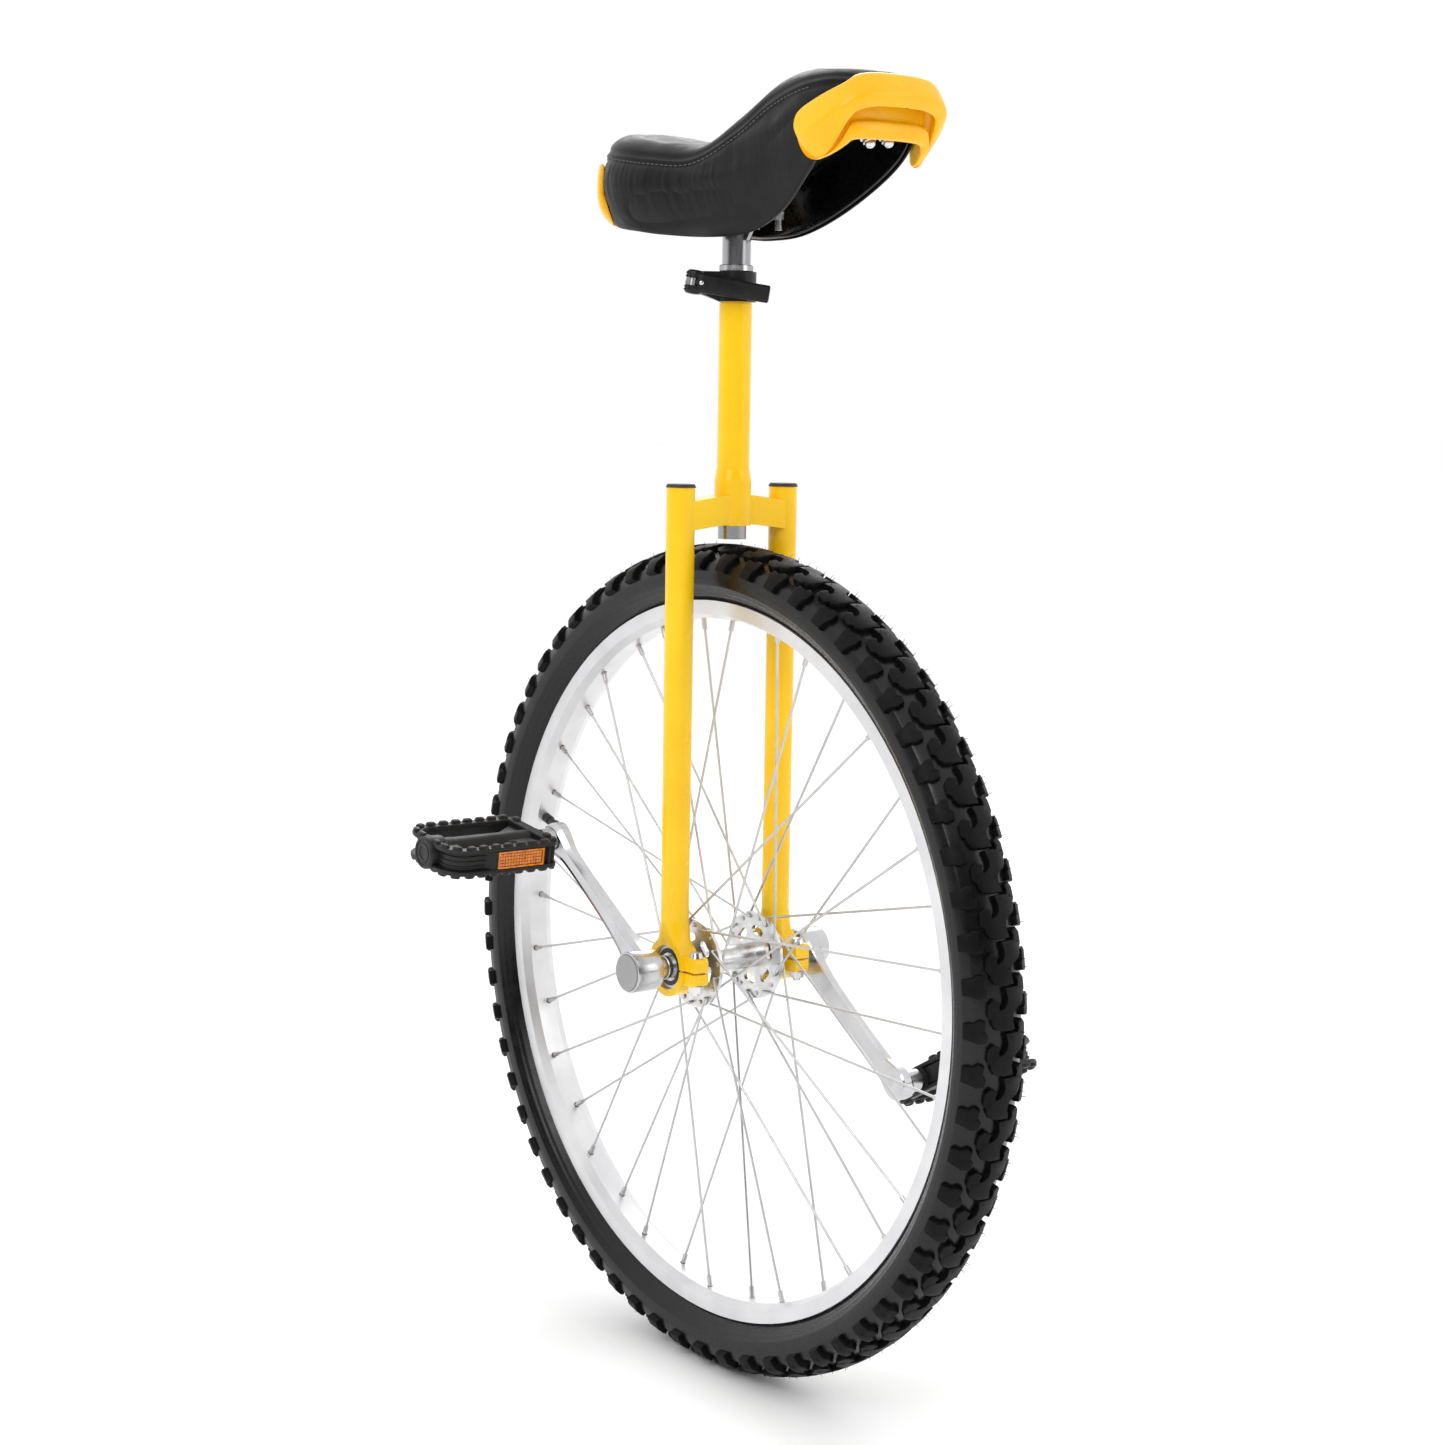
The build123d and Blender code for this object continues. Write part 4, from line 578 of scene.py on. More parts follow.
def half_section(x, inset=0.0):
    """Half of the saddle's section at x, from the skirt's bottom edge to the top's middle."""
    bottom, bottom_z, wide, wide_z, top_z = saddle_values(x)
    bottom, wide = max(bottom - inset, 1), max(wide - inset, 2)
    top_z -= inset
    seam_y = SEAM_WIDTH_SHARE * wide
    seam_z = wide_z + SEAM_HEIGHT_SHARE * (top_z - wide_z)
    points = []
    for v in [i / SKIRT_STEPS for i in range(SKIRT_STEPS)]:
        points.append((bottom + (wide - bottom) * math.sin(v * math.pi / 2),
                       bottom_z + (wide_z - bottom_z) * v))
    for v in [i / SIDE_STEPS for i in range(SIDE_STEPS)]:
        points.append((wide + (seam_y - wide) * v * v, wide_z + (seam_z - wide_z) * v))
    for v in [i / CROWN_STEPS * math.pi / 2 for i in range(CROWN_STEPS + 1)]:
        points.append((seam_y * math.cos(v), seam_z + (top_z - seam_z) * math.sin(v) ** CROWN_FULLNESS))
    return points


def saddle_point(x, y, z):
    return Vector((x * MM, y * MM, AXLE_Z + z * MM))


def saddle_stations():
    """x of each ring of the saddle mesh: even steps, closer at the rounded ends."""
    first, last = SADDLE[0][0], SADDLE[-1][0]
    count = 66
    return [first + (last - first) * (0.5 - 0.5 * math.cos(math.pi * i / count)) * 0.35
            + (last - first) * i / count * 0.65 for i in range(count + 1)]


def both_sides(x, half):
    """A whole ring of points at x from (y, height) pairs that end in the middle."""
    return ([saddle_point(x, -y, z) for y, z in half]
            + [saddle_point(x, y, z) for y, z in reversed(half[:-1])])


def full_section(x, inset=0.0):
    return both_sides(x, half_section(x, inset))


def double_walled(outer, inner):
    """Join the rings of an outside to those of its lining, with closed rims and ends."""
    closed = [ring + list(reversed(lining)) for ring, lining in zip(outer, inner)]
    verts, faces = join_rings(closed)
    per_ring, half = len(closed[0]), len(outer[0])
    for start, flip in ((0, False), ((len(closed) - 1) * per_ring, True)):
        for j in range(half - 1):
            quad = (start + j, start + j + 1, start + per_ring - 2 - j, start + per_ring - 1 - j)
            faces.append(quad if flip else tuple(reversed(quad)))
    return verts, faces


def inflate(rings):
    """Blow the closed saddle up a little as cloth, held at its hem and along its seams."""
    verts, faces = join_rings(rings, cap=True)
    mesh = bpy.data.meshes.new("saddle_inflated")
    mesh.from_pydata([tuple(v) for v in verts], [], faces)
    pad = add_object("saddle_inflated", mesh)
    per_ring = len(rings[0])
    held = pad.vertex_groups.new(name="held")
    fixed = {0, 1, SEAM_INDEX, per_ring - 1 - SEAM_INDEX, per_ring - 2, per_ring - 1}
    for index in range(len(verts)):
        ring, place = divmod(index, per_ring)
        if place in fixed or ring in (0, len(rings) - 1):
            held.add([index], 1, "REPLACE")
    cloth = pad.modifiers.new("cloth", "CLOTH")
    settings = cloth.settings
    settings.quality = 6
    settings.mass = 0.35
    settings.tension_stiffness = 18
    settings.compression_stiffness = 12
    settings.bending_stiffness = 0.8
    settings.use_pressure = True
    settings.uniform_pressure_force = 4
    settings.vertex_group_mass = "held"
    settings.effector_weights.gravity = 0.0
    cloth.collision_settings.use_collision = False
    cloth.collision_settings.use_self_collision = False
    scene = bpy.context.scene
    for frame_number in range(1, CLOTH_FRAMES + 1):
        scene.frame_set(frame_number)
    shaped = pad.evaluated_get(bpy.context.evaluated_depsgraph_get())
    moved = [vert.co.copy() for vert in shaped.data.vertices]
    scene.frame_set(1)
    bpy.data.objects.remove(pad)
    result = []
    for before, after in zip(verts, moved):
        shift = after - before
        if shift.length > LARGEST_SWELL:
            shift *= LARGEST_SWELL / shift.length
        result.append(before + shift)
    return [result[i * per_ring:(i + 1) * per_ring] for i in range(len(rings))]


def crease_cover(cover):
    """Raise the seam's ridge and press fine gathers into the vinyl below it."""
    mesh = cover.data
    normals = [vert.normal.copy() for vert in mesh.vertices]
    for vert, normal in zip(mesh.vertices, normals):
        x, y, z = vert.co.x / MM, abs(vert.co.y / MM), (vert.co.z - AXLE_Z) / MM
        if z < 580 and y < 20:
            continue
        seam_y, seam_z = seam_point(x)
        off = math.hypot(y - seam_y, z - seam_z)
        below = seam_z - z
        lift = 1.1 * math.exp(-(off / 1.5) ** 2) - 0.7 * math.exp(-((off - 4.2) / 2) ** 2)
        if 0 < below < GATHER_DEPTH:
            rear = 1 if x < 10 else max(0.0, 1 - (x - 10) / 60)
            fade = math.sin(math.pi * min(1, (below + 3) / GATHER_DEPTH)) * (0.25 + 0.75 * rear)
            fine = noise.noise(Vector((x * 0.30, below * 0.022, 3 if vert.co.y > 0 else 7)))
            broad = noise.noise(Vector((x * 0.07, below * 0.03, 11)))
            lift += fade * (0.55 * fine + 0.7 * broad)
        vert.co += normal * lift * MM
    mesh.update()


def add_stitches(cover, name, above_seam):
    """One row of stitches on each side, parallel to the seam."""
    beside_seam = 1.5 if above_seam < 0 else -2
    verts, faces = [], []
    for side in (-1, 1):
        x = SADDLE[2][0]
        while x < LAST_STITCH:
            ends = []
            for along in (x, x + STITCH_LENGTH):
                seam_y, seam_z = seam_point(along)
                guess = saddle_point(along, side * (seam_y + beside_seam), seam_z + above_seam)
                ends.append(cover.closest_point_on_mesh(guess)[1:3])
            (start, normal), (end, _) = ends
            across = normal.cross((end - start).normalized()).normalized()
            rings = []
            for share, thick, rise in STITCH_RINGS:
                centre = start.lerp(end, share) + normal * rise * STITCH_RADIUS * MM
                rings.append([centre + (across * math.cos(a) + normal * math.sin(a))
                              * STITCH_RADIUS * thick * MM for a in circle(6)])
            add_tube(verts, faces, rings, both_ends=True)
            slope = math.hypot(1, (seam_point(x + 2)[1] - seam_point(x)[1]) / 2)
            x += STITCH_PITCH / slope
    return add_mesh(name, (verts, faces), "thread", "saddle")


def build_cover():
    stations = saddle_stations()
    rings = [full_section(x) for x in stations]
    rings = inflate(rings)
    lining = [full_section(x, COVER_THICKNESS) for x in stations]
    cover = add_mesh("saddle_cover_sewn", double_walled(rings, lining), "vinyl", "saddle")
    subdivide(cover, 2)
    crease_cover(cover)
    return cover


def pan_roof(x):
    """The height inside the saddle at which the foam rests on the pan."""
    _, bottom_z, _, _, top_z = saddle_values(x)
    return bottom_z + 0.62 * (top_z - bottom_z)


def build_pan():
    """The moulded base: a smooth concave shell inside the skirt."""
    outer, inner = [], []
    for x in [x for x in saddle_stations() if -132 < x < 174]:
        bottom, bottom_z, wide, _, _ = saddle_values(x)
        roof = pan_roof(x)
        for shell, inset, ceiling in ((outer, 2.9, roof), (inner, 5.6, roof - 2.8)):
            half = []
            for i in range(13):
                v = i / 12
                edge = bottom - inset + (wide - bottom) * math.sin(min(1, v * 1.15) * math.pi / 2) * 0.9
                y = edge * (1 - v**5) ** 0.5 if v < 1 else 0.0
                half.append((max(y, 0.0), bottom_z + PAN_RISE
                             + (ceiling - bottom_z - PAN_RISE) * math.sin(v * math.pi / 2)))
            shell.append(both_sides(x, half))
    pan = add_mesh("saddle_pan", double_walled(outer, inner), "pan", "saddle")
    subdivide(pan, 1)
    return pan


def build_pan_ribs():
    """Two long stiffening ribs under the front of the pan."""
    parts = []
    for side_y in (-13, 13):
        rows = []
        for i in range(25):
            x = 40 + 125 * i / 24
            ceiling = pan_roof(x) - 2
            deep = 9 * math.sin(math.pi * (0.08 + 0.84 * i / 24)) + 1.5
            rows.append([saddle_point(x, side_y + dy, z)
                         for dy, z in ((-1.6, ceiling), (-1.1, ceiling - deep + 1), (0.0, ceiling - deep),
                                       (1.1, ceiling - deep + 1), (1.6, ceiling))])
        parts.append(join_rings(rows, cap=True))
    return add_mesh("saddle_pan_ribs", gather(parts), "pan", "saddle", sharp=50)


def build_foam():
    rings = []
    for x in [x for x in saddle_stations() if -128 < x < 172]:
        base_z = pan_roof(x) + 0.6
        rings.append(both_sides(x, [(max(y, 0.0), max(z, base_z))
                                    for y, z in half_section(x, 3.2)[SKIRT_STEPS:]]))
    return add_mesh("saddle_foam_core", join_rings(rings, cap=True), "foam", "saddle")


# Half of the front bumper from the wing's rear edge to the middle of the handle, in millimetres:
# (x, y, top height, bottom height, top inset, bottom inset, thickness, pocket share, ledge height)
FRONT_BUMPER = (
    (140.6, 59.6, 644, 633, 2, 2, 7, 0.0, 633),
    (141.8, 60, 647, 623.5, 3, 6, 9, 0.0, 623.5),
    (145, 60.2, 649.5, 616, 4, 11, 12, 0.0, 616),
    (150, 60.2, 652, 612.5, 5, 14, 14.5, 0.0, 612.5),
    (156, 59.8, 654.5, 611.8, 6, 14.5, 15.5, 0.0, 612),
    (164, 58.4, 658, 615, 7, 13, 16.5, 0.0, 614),
    (173, 55.8, 661.5, 622.5, 8, 11, 18, 0.05, 617.5),
    (181, 52.2, 664.5, 632, 8.5, 9, 19, 0.35, 621),
    (187.5, 47.6, 667.5, 640, 9, 7.5, 20, 0.9, 623.5),
    (192, 41.5, 670, 645.5, 9, 6, 20.5, 1, 625),
    (195, 32, 672, 648.5, 8.5, 5, 20.5, 1, 626),
    (196.8, 20, 673, 650, 8.5, 4.5, 20.5, 1, 626.5),
    (197.6, 8, 673.3, 650.3, 8.5, 4.5, 20.5, 1, 626.5),
)




def bumper_ring(row, outward):
    """One section of the front bumper: its face, its lips and the pocket behind the handle."""
    x, y, top, bottom, top_in, bottom_in, thick, pocket, ledge = row
    middle = bottom + (0.42 if pocket < 0.5 else 0.30) * (top - bottom)
    lip = min(bottom_in + 3.6, thick - 4)
    shelf = max(lip + 0.5, thick - 6)
    ceiling = max(top - 4.5, bottom)

    def lifted(share, roof):
        """A height between the bottom and the ledge, raised to the roof where there is a pocket."""
        under = bottom + (ledge - bottom) * share
        return under + (roof - under) * pocket

    corners = [(thick + 2, top + 0.5), (top_in, top), (0.0, middle), (bottom_in, bottom),
               (lip, bottom + (ledge - bottom) * 0.1 + 0.2), (lip, lifted(0.3, ceiling)),
               (thick - 1.5, lifted(0.6, ceiling)), (thick - 1.5, lifted(0.6, ledge + 14)),
               (shelf, lifted(0.8, ledge + 13)), (shelf, ledge + 1), (thick + 2, ledge)]
    return [saddle_point(x - outward.x * inset, y - outward.y * inset, z)
            for inset, z in rounded(corners, 2.2)]


def build_front_bumper():
    rows = FRONT_BUMPER + tuple((row[0], -row[1]) + row[2:] for row in reversed(FRONT_BUMPER))
    rings = []
    for i, row in enumerate(rows):
        before, after = rows[max(i - 1, 0)], rows[min(i + 1, len(rows) - 1)]
        tangent = Vector((after[0] - before[0], after[1] - before[1], 0))
        if i in (0, len(rows) - 1):
            tangent = Vector((1 if i == 0 else -1, 0, 0))
        rings.append(bumper_ring(row, Vector((-tangent.y, tangent.x, 0)).normalized()))
    bumper = add_mesh("saddle_front_handle", join_rings(rings, cap=True), "bumper", "saddle")
    subdivide(bumper, 2)
    return bumper


REAR_BAND_CENTRE = -62
REAR_BAND_TURN = math.radians(63)
REAR_BAND_STEPS = 36
REAR_BAND_LOW, REAR_BAND_MIDDLE, REAR_BAND_HIGH = 577, 601, 625


def build_rear_bumper():
    """A thin band round the back of the saddle, thicker than the cover it screws to."""
    low, middle, high = REAR_BAND_LOW, REAR_BAND_MIDDLE, REAR_BAND_HIGH
    rings = []
    for i in range(REAR_BAND_STEPS + 1):
        turn = math.pi + REAR_BAND_TURN * (2 * i / REAR_BAND_STEPS - 1)
        shrink = {0: 6, 1: 2.2, 2: 0.6}.get(min(i, REAR_BAND_STEPS - i), 0.0)
        corners = []
        for offset, levels in ((4.4, range(9)), (0.2, range(8, -1, -1))):
            for level in levels:
                z = low + shrink + (high - low - 2 * shrink) * level / 8
                if z < middle:
                    sag, width_drop, depth_drop = (middle - z) / (middle - low), 11, 9
                else:
                    sag, width_drop, depth_drop = 0.7 * ((z - middle) / (high - middle)), 1.5, 3
                width = 64 - width_drop * sag**2
                depth = 77.5 - depth_drop * sag**2
                edge = 1.4 if level in (0, 8) and offset > 1 else 0.0
                corners.append((width + offset - edge, depth + offset - edge, z))
        rings.append([saddle_point(REAR_BAND_CENTRE + depth * math.cos(turn), width * math.sin(turn), z)
                      for width, depth, z in corners])
    band = add_mesh("saddle_rear_bumper", join_rings(rings, cap=True), "bumper", "saddle")
    subdivide(band, 1)
    band.data.set_sharp_from_angle(angle=math.radians(60))
    return band


cover = build_cover()
pan = build_pan()
ribs = build_pan_ribs()
foam = build_foam()
front_handle = build_front_bumper()
rear_bumper = build_rear_bumper()
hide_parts("saddle_cover")
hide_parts("saddle_base")
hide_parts("saddle_foam")
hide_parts("front_bumper")
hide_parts("rear_bumper")
for row_name, above in (("saddle_stitches_lower", -2.4), ("saddle_stitches_upper", 1.8)):
    add_stitches(cover, row_name, above)


# ================================================================ pedals
PEDAL_INNER, PEDAL_OUTER, PEDAL_HALF = 100, 202.5, 37
PEDAL_INNER_CORNER, PEDAL_OUTER_CORNER = 9, 20
PEDAL_PITCH = {"right": -8.5, "left": 30.0}
PLATE_LOW, PLATE_HIGH, PLATE_WIDTH = 7.2, 10.5, 8.6
TOOTH_PITCH = 11.3
TOOTH_RINGS = ((-0.4, 4.1, 2.9), (1.2, 3.9, 2.7), (2.2, 3.3, 2.1), (2.6, 2.2, 1.2))
INNER_WEB = ((101.5, 29), (108, 28), (118, 21), (127, 14), (133, 10))
OUTER_WEB = ((180, 12), (184, 20), (191.5, 19))
BARREL = [(10.4, 99.9), (10.4, 104)] + [(10.2 if i % 2 else 9.7, 106 + 1.6 * i) for i in range(46)]
BARREL += [(10.4, 181), (10.4, 187.8)]
DUST_CAP = ((11.4, 188), (12.6, 189), (13, 190.5), (13, 202.6), (12.7, 204.4), (11.8, 205.4),
            (10.2, 205.5), (9.8, 204.7), (8, 204.7), (7.6, 205.4), (5.4, 205.4), (5, 204.7), (1, 204.7))
LENS_MIDDLE, LENS_COLUMNS, LENS_ROWS, LENS_CELL = 137, 15, 4, 2.6
LENS_FACE, LENS_PEAK = 36.1, 37.2
LENS_FRAME = ((1.6, 35.6), (1.6, 36.9), (0.4, 36.9), (0.4, 36.2))


def pedal_frame(side_name):
    """A function that turns pedal coordinates in mm (across, outward, up) into a point."""
    low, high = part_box("pedal_end_cap_" + side_name)
    x, z = (low[0] + high[0]) / 2, (low[2] + high[2]) / 2
    pitch = math.radians(PEDAL_PITCH[side_name])
    across = Vector((math.cos(pitch), 0, math.sin(pitch)))
    up = Vector((-math.sin(pitch), 0, math.cos(pitch)))
    side = SIDES[side_name]
    return lambda a, o, u: Vector((x, side * o * MM, z)) + (across * a + up * u) * MM


def pedal_outline(inset, spacing=1.5):
    """The pedal's outline as ((across, outward), outward normal) points, evenly spaced round it."""
    turned, points = [], []
    inner, outer = PEDAL_INNER + PEDAL_INNER_CORNER, PEDAL_OUTER - PEDAL_OUTER_CORNER
    for sign, cy, radius, start in ((-1, inner, PEDAL_INNER_CORNER, 180), (1, inner, PEDAL_INNER_CORNER, 270),
                                    (1, outer, PEDAL_OUTER_CORNER, 0), (-1, outer, PEDAL_OUTER_CORNER, 90)):
        cx = sign * (PEDAL_HALF - radius)
        steps = max(4, int(radius * math.pi / 2 / spacing))
        for i in range(steps + 1):
            a = math.radians(start + 90 * i / steps)
            turned.append(((cx + radius * math.cos(a), cy + radius * math.sin(a)),
                           (math.cos(a), math.sin(a))))
    for i, (spot, normal) in enumerate(turned):
        points.append((spot, normal))
        after = turned[(i + 1) % len(turned)][0]
        gap = math.hypot(after[0] - spot[0], after[1] - spot[1])
        if gap > 3:
            extra = int(gap / spacing)
            for share in [k / extra for k in range(1, extra)]:
                points.append(((spot[0] + (after[0] - spot[0]) * share,
                                spot[1] + (after[1] - spot[1]) * share), normal))
    return [((x - nx * inset, y - ny * inset), (nx, ny)) for (x, y), (nx, ny) in points]


def pedal_band(place, section):
    """A closed band round the outline; section gives its (inset, depth, low, high) at each point."""
    rings = []
    for (x, y), (nx, ny) in pedal_outline(0.0):
        inset, depth, low, high = section(x, y)
        corners = ((inset, low), (inset, high), (depth, high), (depth, low))
        rings.append([place(x - nx * into, y - ny * into, up) for into, up in rounded(corners, 0.7)])
    return join_rings(rings, loop_rings=True)


def pedal_wall(x, y):
    """Section of the side wall: flush along the front and back, set in round the outer end."""
    flush = min(1, max(0.0, (168 - y) / 6)) if abs(x) > PEDAL_HALF - 1.5 else 0.0
    inset = 5 - 4.2 * flush
    if flush > 0 and (105.5 < y < 108.2 or 111.5 < y < 114.2):
        inset += 2.6
    return inset, 8, -PLATE_LOW - 0.4, PLATE_LOW + 0.4


def pedal_tooth(place, spot, normal, up_sign):
    """One rounded grip tooth on the edge of a plate."""
    rings = []
    for lift, long, wide in TOOTH_RINGS:
        ring = []
        for a in circle(12):
            u = math.copysign(abs(math.cos(a)) ** 0.6, math.cos(a)) * long
            v = math.copysign(abs(math.sin(a)) ** 0.6, math.sin(a)) * wide
            ring.append(place(spot[0] - normal[1] * u + normal[0] * v,
                              spot[1] + normal[0] * u + normal[1] * v, up_sign * (PLATE_HIGH + lift)))
        rings.append(ring)
    return join_rings(rings, cap=True)


def build_platform(side_name, place, body):
    """The pedal's body: two plates with their teeth, the wall with its slats, and the webs."""
    plates = ((PLATE_LOW, PLATE_HIGH), (-PLATE_LOW, -PLATE_HIGH))
    parts = [pedal_band(place, lambda x, y, s=span: (0.0, PLATE_WIDTH, *s)) for span in plates]
    parts.append(pedal_band(place, pedal_wall))
    for height in (-4, 0.0, 4):
        parts.append(pedal_band(place, lambda x, y, h=height: (
            4.2 if y > 160 else 6, 6.5, h - 0.7, h + 0.7)))
    ring = pedal_outline(3.3, 0.5)
    since = 0.0
    for (before, _), (spot, normal) in zip(ring, ring[1:]):
        since += math.hypot(spot[0] - before[0], spot[1] - before[1])
        if since >= TOOTH_PITCH:
            since -= TOOTH_PITCH
            if spot[1] > 112 or abs(spot[0]) > 15:
                parts += [pedal_tooth(place, spot, normal, up_sign) for up_sign in (1, -1)]
    for sign in (-1, 1):
        web = []
        for o, reach in INNER_WEB:
            low, high = sorted((sign * 3, sign * reach))
            web.append([place(a, o, u) for a, u in rounded_box(low, -6.2, high, 6.2, 1.2)])
        parts.append(join_rings(web, cap=True))
    web = [[place(a, o, u) for a, u in rounded_box(-reach, -7, reach, 7, 1.2)] for o, reach in OUTER_WEB]
    parts.append(join_rings(web, cap=True))
    shell = add_mesh("pedal_platform_" + side_name, gather(parts), "pedal", body, sharp=35)
    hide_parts("pedal_body_" + side_name)


def build_lenses(side_name, place, body):
    """The reflectors on both edges of the pedal: a frame round rows of small pyramids."""
    parts = []
    half_o, half_u = LENS_COLUMNS * LENS_CELL / 2, LENS_ROWS * LENS_CELL / 2
    for face in (-1, 1):
        parts.append(join_rings([[place(face * depth, LENS_MIDDLE + o * (half_o + grow), u * (half_u + grow))
                                  for o, u in ((-1, -1), (1, -1), (1, 1), (-1, 1))]
                                 for grow, depth in LENS_FRAME], cap=True))
        for column in range(LENS_COLUMNS):
            for row in range(LENS_ROWS):
                o = LENS_MIDDLE + (column - LENS_COLUMNS / 2) * LENS_CELL
                u = (row - LENS_ROWS / 2) * LENS_CELL
                corners = ((o, u), (o + LENS_CELL, u), (o + LENS_CELL, u + LENS_CELL), (o, u + LENS_CELL))
                base = [place(face * LENS_FACE, *corner) for corner in corners]
                parts.append((base + [place(face * LENS_PEAK, o + LENS_CELL / 2, u + LENS_CELL / 2)],
                              [(0, 1, 4), (1, 2, 4), (2, 3, 4), (3, 0, 4), (3, 2, 1, 0)]))
    lens = add_mesh("pedal_lenses_" + side_name, gather(parts), "reflector", body, smooth=False)
    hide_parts("pedal_reflectors_" + side_name)


def build_pedal(side_name):
    place = pedal_frame(side_name)
    body = "pedal_" + side_name
    build_platform(side_name, place, body)
    barrel = add_mesh("pedal_barrel_" + side_name, lathe(place, BARREL), "pedal", body, sharp=35)
    cap = add_mesh("pedal_dust_cap_" + side_name, lathe(place, DUST_CAP, 48), "pedal", body, sharp=40)
    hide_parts("pedal_end_cap_" + side_name)
    build_lenses(side_name, place, body)


for side_name in SIDES:
    build_pedal(side_name)


# ================================================================ quick release
JOINTS = {joint["name"]: joint for joint in frame["record"]["behaviour"]["joints"]}
PIVOT = Vector(JOINTS["quick_release"]["pos_m"])
LEVER_UP = -Vector(JOINTS["quick_release"]["axis"]).normalized()
FRONT = Vector(JOINTS["adjuster_nut_turn"]["axis"]).normalized()
LEVER_ALONG = LEVER_UP.cross(FRONT)

# Along the lever's strap, in mm: (distance from the pivot, inner face, outer face, half height).
LEVER_STATIONS = ((2.8, 0.8, 6.9, 7.4), (8, 0.8, 7.2, 7.3), (20, 0.9, 6.8, 7.1), (35, 1, 6.9, 6.9),
                  (48, 1.2, 7.1, 6.7), (55, 1.6, 7.7, 6.7), (57.4, 2, 8, 6.6), (58.2, 3, 7.2, 5.4))
# Along each cheek of its fork: (distance from the pivot, inner face, outer face).
LEVER_FORK = ((-5.4, 1.4, 3.6), (-4.4, 0.9, 4.9), (-2, 0.8, 6.2), (0.0, 0.8, 6.6), (3.6, 0.8, 6.8))
LEVER_SLOT_HALF, LEVER_CHEEK_HALF = 2.8, 7.3
LEVER_BARREL = ((2.5, 9.3), (5.2, 8.9), (6.4, 7.8), (6.8, 6), (6.8, LEVER_SLOT_HALF))
LEVER_RIB = ((6.6, 0.9), (7.4, 0.5), (7.4, -0.5), (6.6, -0.9))
LEVER_BOSS = ((3.9, 6.6), (3.9, 7.9), (3.4, 8.3), (2.4, 8.3), (2.1, 7.5))
RIVET = ((1.9, 7.4), (1.9, 8.3), (1.3, 8.8), (0.5, 9))
RIVET_ALONG = 5.6


def lever_point(along, front, up):
    return PIVOT + (LEVER_ALONG * along + FRONT * front + LEVER_UP * up) * MM


def about_rivet(along, front, up):
    return lever_point(RIVET_ALONG + along, front, up)


def build_lever():
    """The cam lever: a strap that forks round the skewer, its two cam barrels, ribs and boss."""
    strap = [[lever_point(along, f, u) for f, u in rounded_box(low, -half, high, half, 1.5)]
             for along, low, high, half in LEVER_STATIONS]
    parts = [join_rings(strap, cap=True)]
    for sign in (1, -1):
        near, far = sorted((sign * LEVER_SLOT_HALF, sign * LEVER_CHEEK_HALF))
        cheek = [[lever_point(along, f, u) for f, u in rounded_box(low, near, high, far, 0.9)]
                 for along, low, high in LEVER_FORK]
        parts.append(join_rings(cheek, cap=True))
        parts.append(lathe(lambda a, o, u, s=sign: lever_point(a, u, s * o), LEVER_BARREL, 28))
        for up in (3.9, 6.3):
            turns = [math.radians(a) for a in range(150, 231, 10)]
            rib = [[lever_point(radius * math.cos(a), radius * math.sin(a), sign * up + rise)
                    for a in turns] for radius, rise in LEVER_RIB]
            parts.append(join_rings(rib, loop_points=False))
    parts.append(lathe(about_rivet, LEVER_BOSS, 28))
    lever = add_mesh("clamp_lever_arm", gather(parts), "clamp", "lever", sharp=50)
    modify(lever, "BEVEL", width=0.0003, segments=2, limit_method="ANGLE")
    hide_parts("quick_release_lever")
    rivet = add_mesh("clamp_lever_rivet", lathe(about_rivet, RIVET, 20), "zinc", "lever", sharp=60)


def build_shim():
    """The shim's knurled lip standing on top of the clamp collar, round the post."""
    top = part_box("seat_clamp_collar")[1][2]
    count, rows = 96, 8
    levels = [[(11.4, -0.2)] * count]
    for row in range(rows + 1):
        levels.append([(12.3 + (0.75 if (j + row) % 2 == 0 and 0 < row < rows else 0.0),
                        0.1 + 5.2 * row / rows) for j in range(count)])
    levels.append([(11.4, 5.4)] * count)
    rings = [[Vector((radius * math.cos(a) * MM, radius * math.sin(a) * MM, top + rise * MM))
              for a, (radius, rise) in zip(circle(count), level)] for level in levels]
    shim = add_mesh("post_shim_lip", join_rings(rings, loop_rings=True), "zinc", "frame", sharp=25)


# Up an acorn nut in millimetres: (radius, distance from its seat, whether it is hexagonal).
ACORN_NUT = ((6.2, -1, False), (6.2, 0.4, False), (5, 0.5, True), (5, 3.6, True), (4, 4.2, False),
             (3.8, 6, False), (2.8, 7.6, False), (1, 8.4, False))


def build_acorn_nuts():
    """Domed nuts that hold the front handle to the saddle's base."""
    parts = []
    axis = Vector((0.45, 0.0, -0.89)).normalized()
    side_dir = Vector((0, 1, 0))
    third = axis.cross(side_dir)
    for x, y, z in ((163, -7.5, 630), (167, 6.5, 631)):
        base = saddle_point(x, y, z)
        rings = []
        for radius, out, hexagonal in ACORN_NUT:
            ring = []
            for a in circle(24):
                flat = 1 / math.cos((a % (math.pi / 3)) - math.pi / 6) * 0.93 if hexagonal else 1
                ring.append(base + (side_dir * math.cos(a) + third * math.sin(a)) * radius * flat * MM
                            + axis * out * MM)
            rings.append(ring)
        parts.append(join_rings(rings, cap=True))
    nuts = add_mesh("handle_acorn_nuts", gather(parts), "zinc", "saddle", sharp=40)


build_lever()
build_shim()
build_acorn_nuts()


